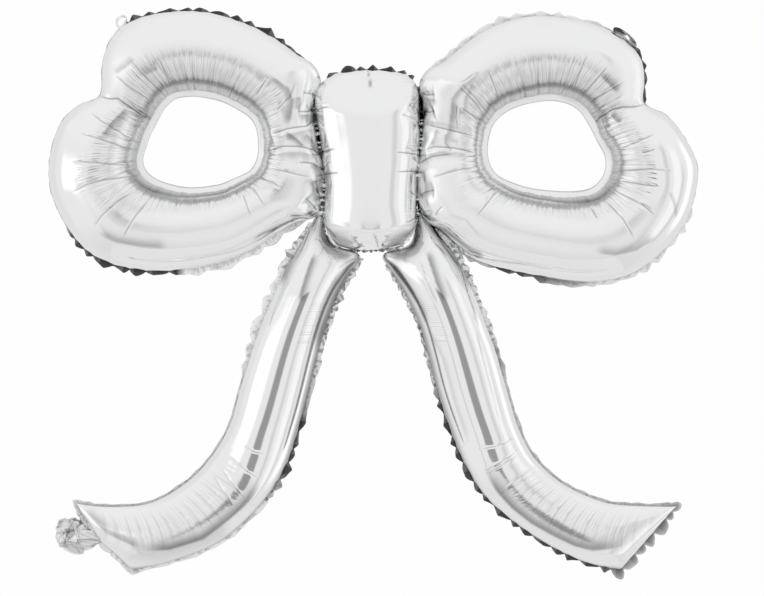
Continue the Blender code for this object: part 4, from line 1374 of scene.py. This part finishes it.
# Each tab is its centre, the half axes of its rim, its hole's centre and half axes, how far it is turned,
# its shade and how far it is folded.
LEFT_TAB = ((-253.5, 140.0), (5.5, 7.3), (0.0, 0.0), (2.8, 4.4), -0.5, 0.95, 0.0)
RIGHT_TAB = ((260.0, 124.0), (15.0, 5.2), (1.8, 1.2), (2.6, 1.6), -0.675, 0.08, 1.6)
TAB_SPOKES = 96
TAB_FILM = foil(
    "bare tab film",
    color=(0.97, 0.972, 0.975),
    dark=(0.04, 0.042, 0.044),
    roughness=0.28,
    crinkle_size=120.0,
    crinkle_depth=0.35,
    gather_depth=0.0,
)


def make_tab(side, tab, seed):
    """A flat plate of straight spokes from a punched hole to an elliptic rim, thicker along both, and bent
    out of the plane by a sine round it times the square of the way out."""
    centre, radii, hole_at, hole, turn, shade, fold = tab
    around = np.arange(TAB_SPOKES) * 2 * np.pi / TAB_SPOKES
    out = np.linspace(0.0, 1.0, 9)
    spin = np.array([[np.cos(turn), -np.sin(turn)], [np.sin(turn), np.cos(turn)]])
    rim = np.stack([radii[0] * np.cos(around), radii[1] * np.sin(around)], -1) @ spin.T
    punched = np.stack([hole[0] * np.cos(around), hole[1] * np.sin(around)], -1)
    punched = (np.array(hole_at) + punched) @ spin.T
    flat = np.array(centre) + punched[:, None] * (1 - out)[None, :, None] + rim[:, None] * out[None, :, None]
    run = around / (2 * np.pi)
    middle = -1.5 + 0.8 * wander(run[:, None], out[None], seed, 8, 4, 0.6) * out[None]
    middle += 1.2 * np.sin(around + 1.0)[:, None] * out[None] ** 2
    middle += fold * np.abs(wander(run[:, None], out[None], seed + 2, 6, 3, 0.5)) * out[None]
    half = 0.3 + 0.25 * np.exp(-(((out - 0.92) / 0.1) ** 2)) + 0.25 * np.exp(-(((out - 0.08) / 0.1) ** 2))
    crumple = wander(run[:, None], out[None], seed + 3, 5, 3, 0.5)
    # Painted light: folded facets and the film round the hole are painted lighter than the tab's own shade,
    # over a random tone.
    tone = shade + 0.12 * wander(run[:, None], out[None], seed + 1, 6, 4)
    tone = tone + 0.25 * fold * rise((crumple - 0.3) / 0.2) + 0.5 * np.exp(-((out / 0.12) ** 2))[None]
    x, z = flat[..., 0], flat[..., 1]
    name, run = f"{side}_tab", np.append(run, 1.0)
    tone = np.clip(tone, DARKEST, 1.0)
    piece = thin_sheet(name, x, middle, z, half[None], True, run, out, tone, pleat=0.0, blur=0.0)
    fit(piece, TAB_FILM, [f"{side}_hang_tab"])


make_tab("left", LEFT_TAB, 171)
make_tab("right", RIGHT_TAB, 181)


# The filler neck: a short flat tube of film that the gas goes in by, folded back and rolled into a
# crumpled ball beside the left tail's cut end.
NECK_PLACE = (-305.0, 0.0, -383.0)
NECK_RADIUS = 18.0
NECK_FLATNESS = 0.75
NECK_AXIS = (1.0, 0.0, -0.25)
NECK_TONGUE = (19.0, 0.0, -5.0)
NECK_LOBE = (4.0, 0.0, -5.0)
NECK_FACETS = 38
NECK_WRINKLES = 9
NECK_RINGS = 130
NECK_COLUMNS = 150


def make_neck():
    """A sphere whose radius is cut by many random planes, as crumpled film is, drawn out to one side in a
    flat tongue and below in a lobe, on rings from the tongue to the far side."""
    random = np.random.default_rng(191)
    rows, columns = NECK_RINGS, NECK_COLUMNS
    polar = np.linspace(0.02, np.pi - 0.02, rows)[:, None]
    turn = (np.arange(columns) * 2 * np.pi / columns)[None]
    axis = unit(np.array(NECK_AXIS))
    side = np.array([0.0, 1.0, 0.0])
    third = np.cross(axis, side)
    ring = np.cos(turn)[..., None] * side + np.sin(turn)[..., None] * third
    direction = np.cos(polar)[..., None] * axis + np.sin(polar)[..., None] * ring
    planes = unit(random.normal(size=(NECK_FACETS, 3)))
    cut = random.uniform(0.8, 1.05, NECK_FACETS)
    facing = np.maximum(direction @ planes.T, 0.05)
    reached = cut / facing
    radius = np.minimum(reached.min(axis=-1), 1.12)
    # Painted light and shade: each facet gets its own grey, standing in for lit and shaded facets, and the
    # wrinkles are painted darker.
    tone = random.uniform(0.5, 1.05, NECK_FACETS)[reached.argmin(axis=-1)]
    for _ in range(NECK_WRINKLES):
        wave = unit(random.normal(size=3))
        fold = np.abs(np.sin(random.uniform(3, 8) * (direction @ wave) + random.uniform(0, 6)))
        radius -= 0.05 * (1 - fold) ** 4
        tone -= 0.2 * (1 - fold) ** 8
    points = direction * (radius * NECK_RADIUS)[..., None] * np.array([1.0, NECK_FLATNESS, 1.0])
    tongue = rise((direction @ axis - 0.72) / 0.28)[..., None]
    points = points * (1 - tongue * np.array([0.0, 0.8, 0.55])) + tongue * np.array(NECK_TONGUE)
    lobe = rise((direction @ unit(np.array([0.15, 0.0, -1.0])) - 0.7) / 0.3)[..., None]
    points = points * (1 - lobe * np.array([-0.3, 0.3, 0.0])) + lobe * np.array(NECK_LOBE)
    points = points + np.array(NECK_PLACE)
    even = np.zeros((rows, columns))
    marks = {"shade": np.clip(tone, 0.2, 1.0), "pleat": even, "blur": even}
    around = np.linspace(0, 2, columns + 1)
    piece = ring_mesh("filler_neck_roll", points, False, polar[:, 0], around, marks)
    fit(piece, TAB_FILM, ["filler_neck"])


make_neck()


# The studio: a pale floor far below the hanging bow, a bright room whose soft boxes stand to the left
# and the right, and a dim gap straight in front of and below the camera, which draws a grey line down
# every tube that faces it.

# Sizes are metres here, and directions are degrees round from the camera and degrees up.
CAMERA_PLACE = (0.01224, -2.6, -0.1418)
SENSOR = 36.0
SEAM_VIEW_WIDTH = 0.77928
FLOOR_DROP = -1.3
FLOOR_SIDE = 1.6
FLOOR_GREY = 0.92
ROOM_LIGHT = 0.87
BACKDROP = (0.99, 0.99, 0.988, 1.0)

# Each row is (round from, round to, soft edge, up from, up to, soft edge, light).
ROOM_ZONES = [
    (-180, 180, 1, 25, 91, 30, 0.91),
    (-180, 180, 1, -91, -42, 40, 0.76),
    (120, 181, 16, -60, 50, 50, 0.80),
    (-181, -108, 18, -60, 50, 50, 0.80),
    (-62, -31, 7, 4.2, 14.5, 2.4, 1.1),
    (-84, -46, 8, -9, 18, 8, 1.14),
    (94, 114, 6, -30, 30, 12, 1.15),
    (52, 71, 6, -45, 30, 12, 1.0),
    (31, 41, 5, -45, 30, 12, 0.7),
    (74, 82, 4, -45, 14, 12, 0.72),
    (-36, -32, 3, -45, 4, 4, 0.66),
    (-11, 11, 4, -9, 5.3, 1.5, 0.33),
]


def edge_mask(tree, value, low, high, soft):
    """One between low and high, falling to nought over soft on either side."""
    masks = []
    for start, stop in ((low - soft / 2, low + soft / 2), (high + soft / 2, high - soft / 2)):
        node = tree.nodes.new("ShaderNodeMapRange")
        node.interpolation_type = "SMOOTHSTEP"
        node.inputs["From Min"].default_value = start
        node.inputs["From Max"].default_value = stop
        tree.links.new(value, node.inputs["Value"])
        masks.append(node.outputs[0])
    return calc(tree, "MULTIPLY", *masks)


def make_room():
    """World light by direction: each zone replaces what lies under it, as far as its two masks say."""
    world = bpy.data.worlds.new("studio")
    bpy.context.scene.world = world
    world.use_nodes = True
    tree = world.node_tree
    room = tree.nodes["Background"]
    split = tree.nodes.new("ShaderNodeSeparateXYZ")
    tree.links.new(tree.nodes.new("ShaderNodeTexCoord").outputs["Generated"], split.inputs[0])
    x, y, z = split.outputs
    degree = 180 / np.pi
    turned = calc(tree, "MULTIPLY", calc(tree, "ARCTAN2", x, calc(tree, "MULTIPLY", y, -1.0)), degree)
    raised = calc(tree, "MULTIPLY", calc(tree, "ARCSINE", z), degree)
    light = None
    for low, high, soft, down, up, fade, value in ROOM_ZONES:
        sideways = edge_mask(tree, turned, low, high, soft)
        mask = calc(tree, "MULTIPLY", sideways, edge_mask(tree, raised, down, up, fade))
        mix = tree.nodes.new("ShaderNodeMix")
        mix.inputs["A"].default_value = ROOM_LIGHT
        if light is not None:
            tree.links.new(light, mix.inputs["A"])
        mix.inputs["B"].default_value = value
        tree.links.new(mask, mix.inputs["Factor"])
        light = mix.outputs["Result"]
    tree.links.new(light, room.inputs["Color"])
    white = tree.nodes.new("ShaderNodeBackground")
    white.inputs["Color"].default_value = BACKDROP
    seen = tree.nodes.new("ShaderNodeLightPath").outputs["Is Camera Ray"]
    both = tree.nodes.new("ShaderNodeMixShader")
    tree.links.new(seen, both.inputs["Fac"])
    tree.links.new(room.outputs[0], both.inputs[1])
    tree.links.new(white.outputs[0], both.inputs[2])
    tree.links.new(both.outputs[0], tree.nodes["World Output"].inputs["Surface"])


def make_floor():
    """One pale square with a faint mottle."""
    half = FLOOR_SIDE / 2
    mesh = bpy.data.meshes.new("floor")
    outline = [(-half, -half), (half, -half), (half, half), (-half, half)]
    mesh.from_pydata([(x, y, FLOOR_DROP) for x, y in outline], [], [(0, 1, 2, 3)])
    floor = bpy.data.objects.new("floor", mesh)
    bpy.context.scene.collection.objects.link(floor)
    paint = bpy.data.materials.new("pale floor")
    paint.use_nodes = True
    tree = paint.node_tree
    shader = tree.nodes["Principled BSDF"]
    shader.inputs["Roughness"].default_value = 0.8
    mottle = noise(tree, tree.nodes.new("ShaderNodeTexCoord").outputs["Object"], 1.5, 3.0)
    grey = calc(tree, "ADD", calc(tree, "MULTIPLY", mottle, 0.02), FLOOR_GREY)
    tree.links.new(grey, shader.inputs["Base Color"])
    mesh.materials.append(paint)


make_room()
make_floor()
bpy.context.scene.view_settings.view_transform = "Standard"
lens = bpy.data.cameras.new("camera")
lens.sensor_width = SENSOR
lens.lens = SENSOR * -CAMERA_PLACE[1] / SEAM_VIEW_WIDTH
camera = bpy.data.objects.new("camera", lens)
camera.location = CAMERA_PLACE
camera.rotation_euler = (np.pi / 2, 0.0, 0.0)
bpy.context.scene.collection.objects.link(camera)
bpy.context.scene.camera = camera
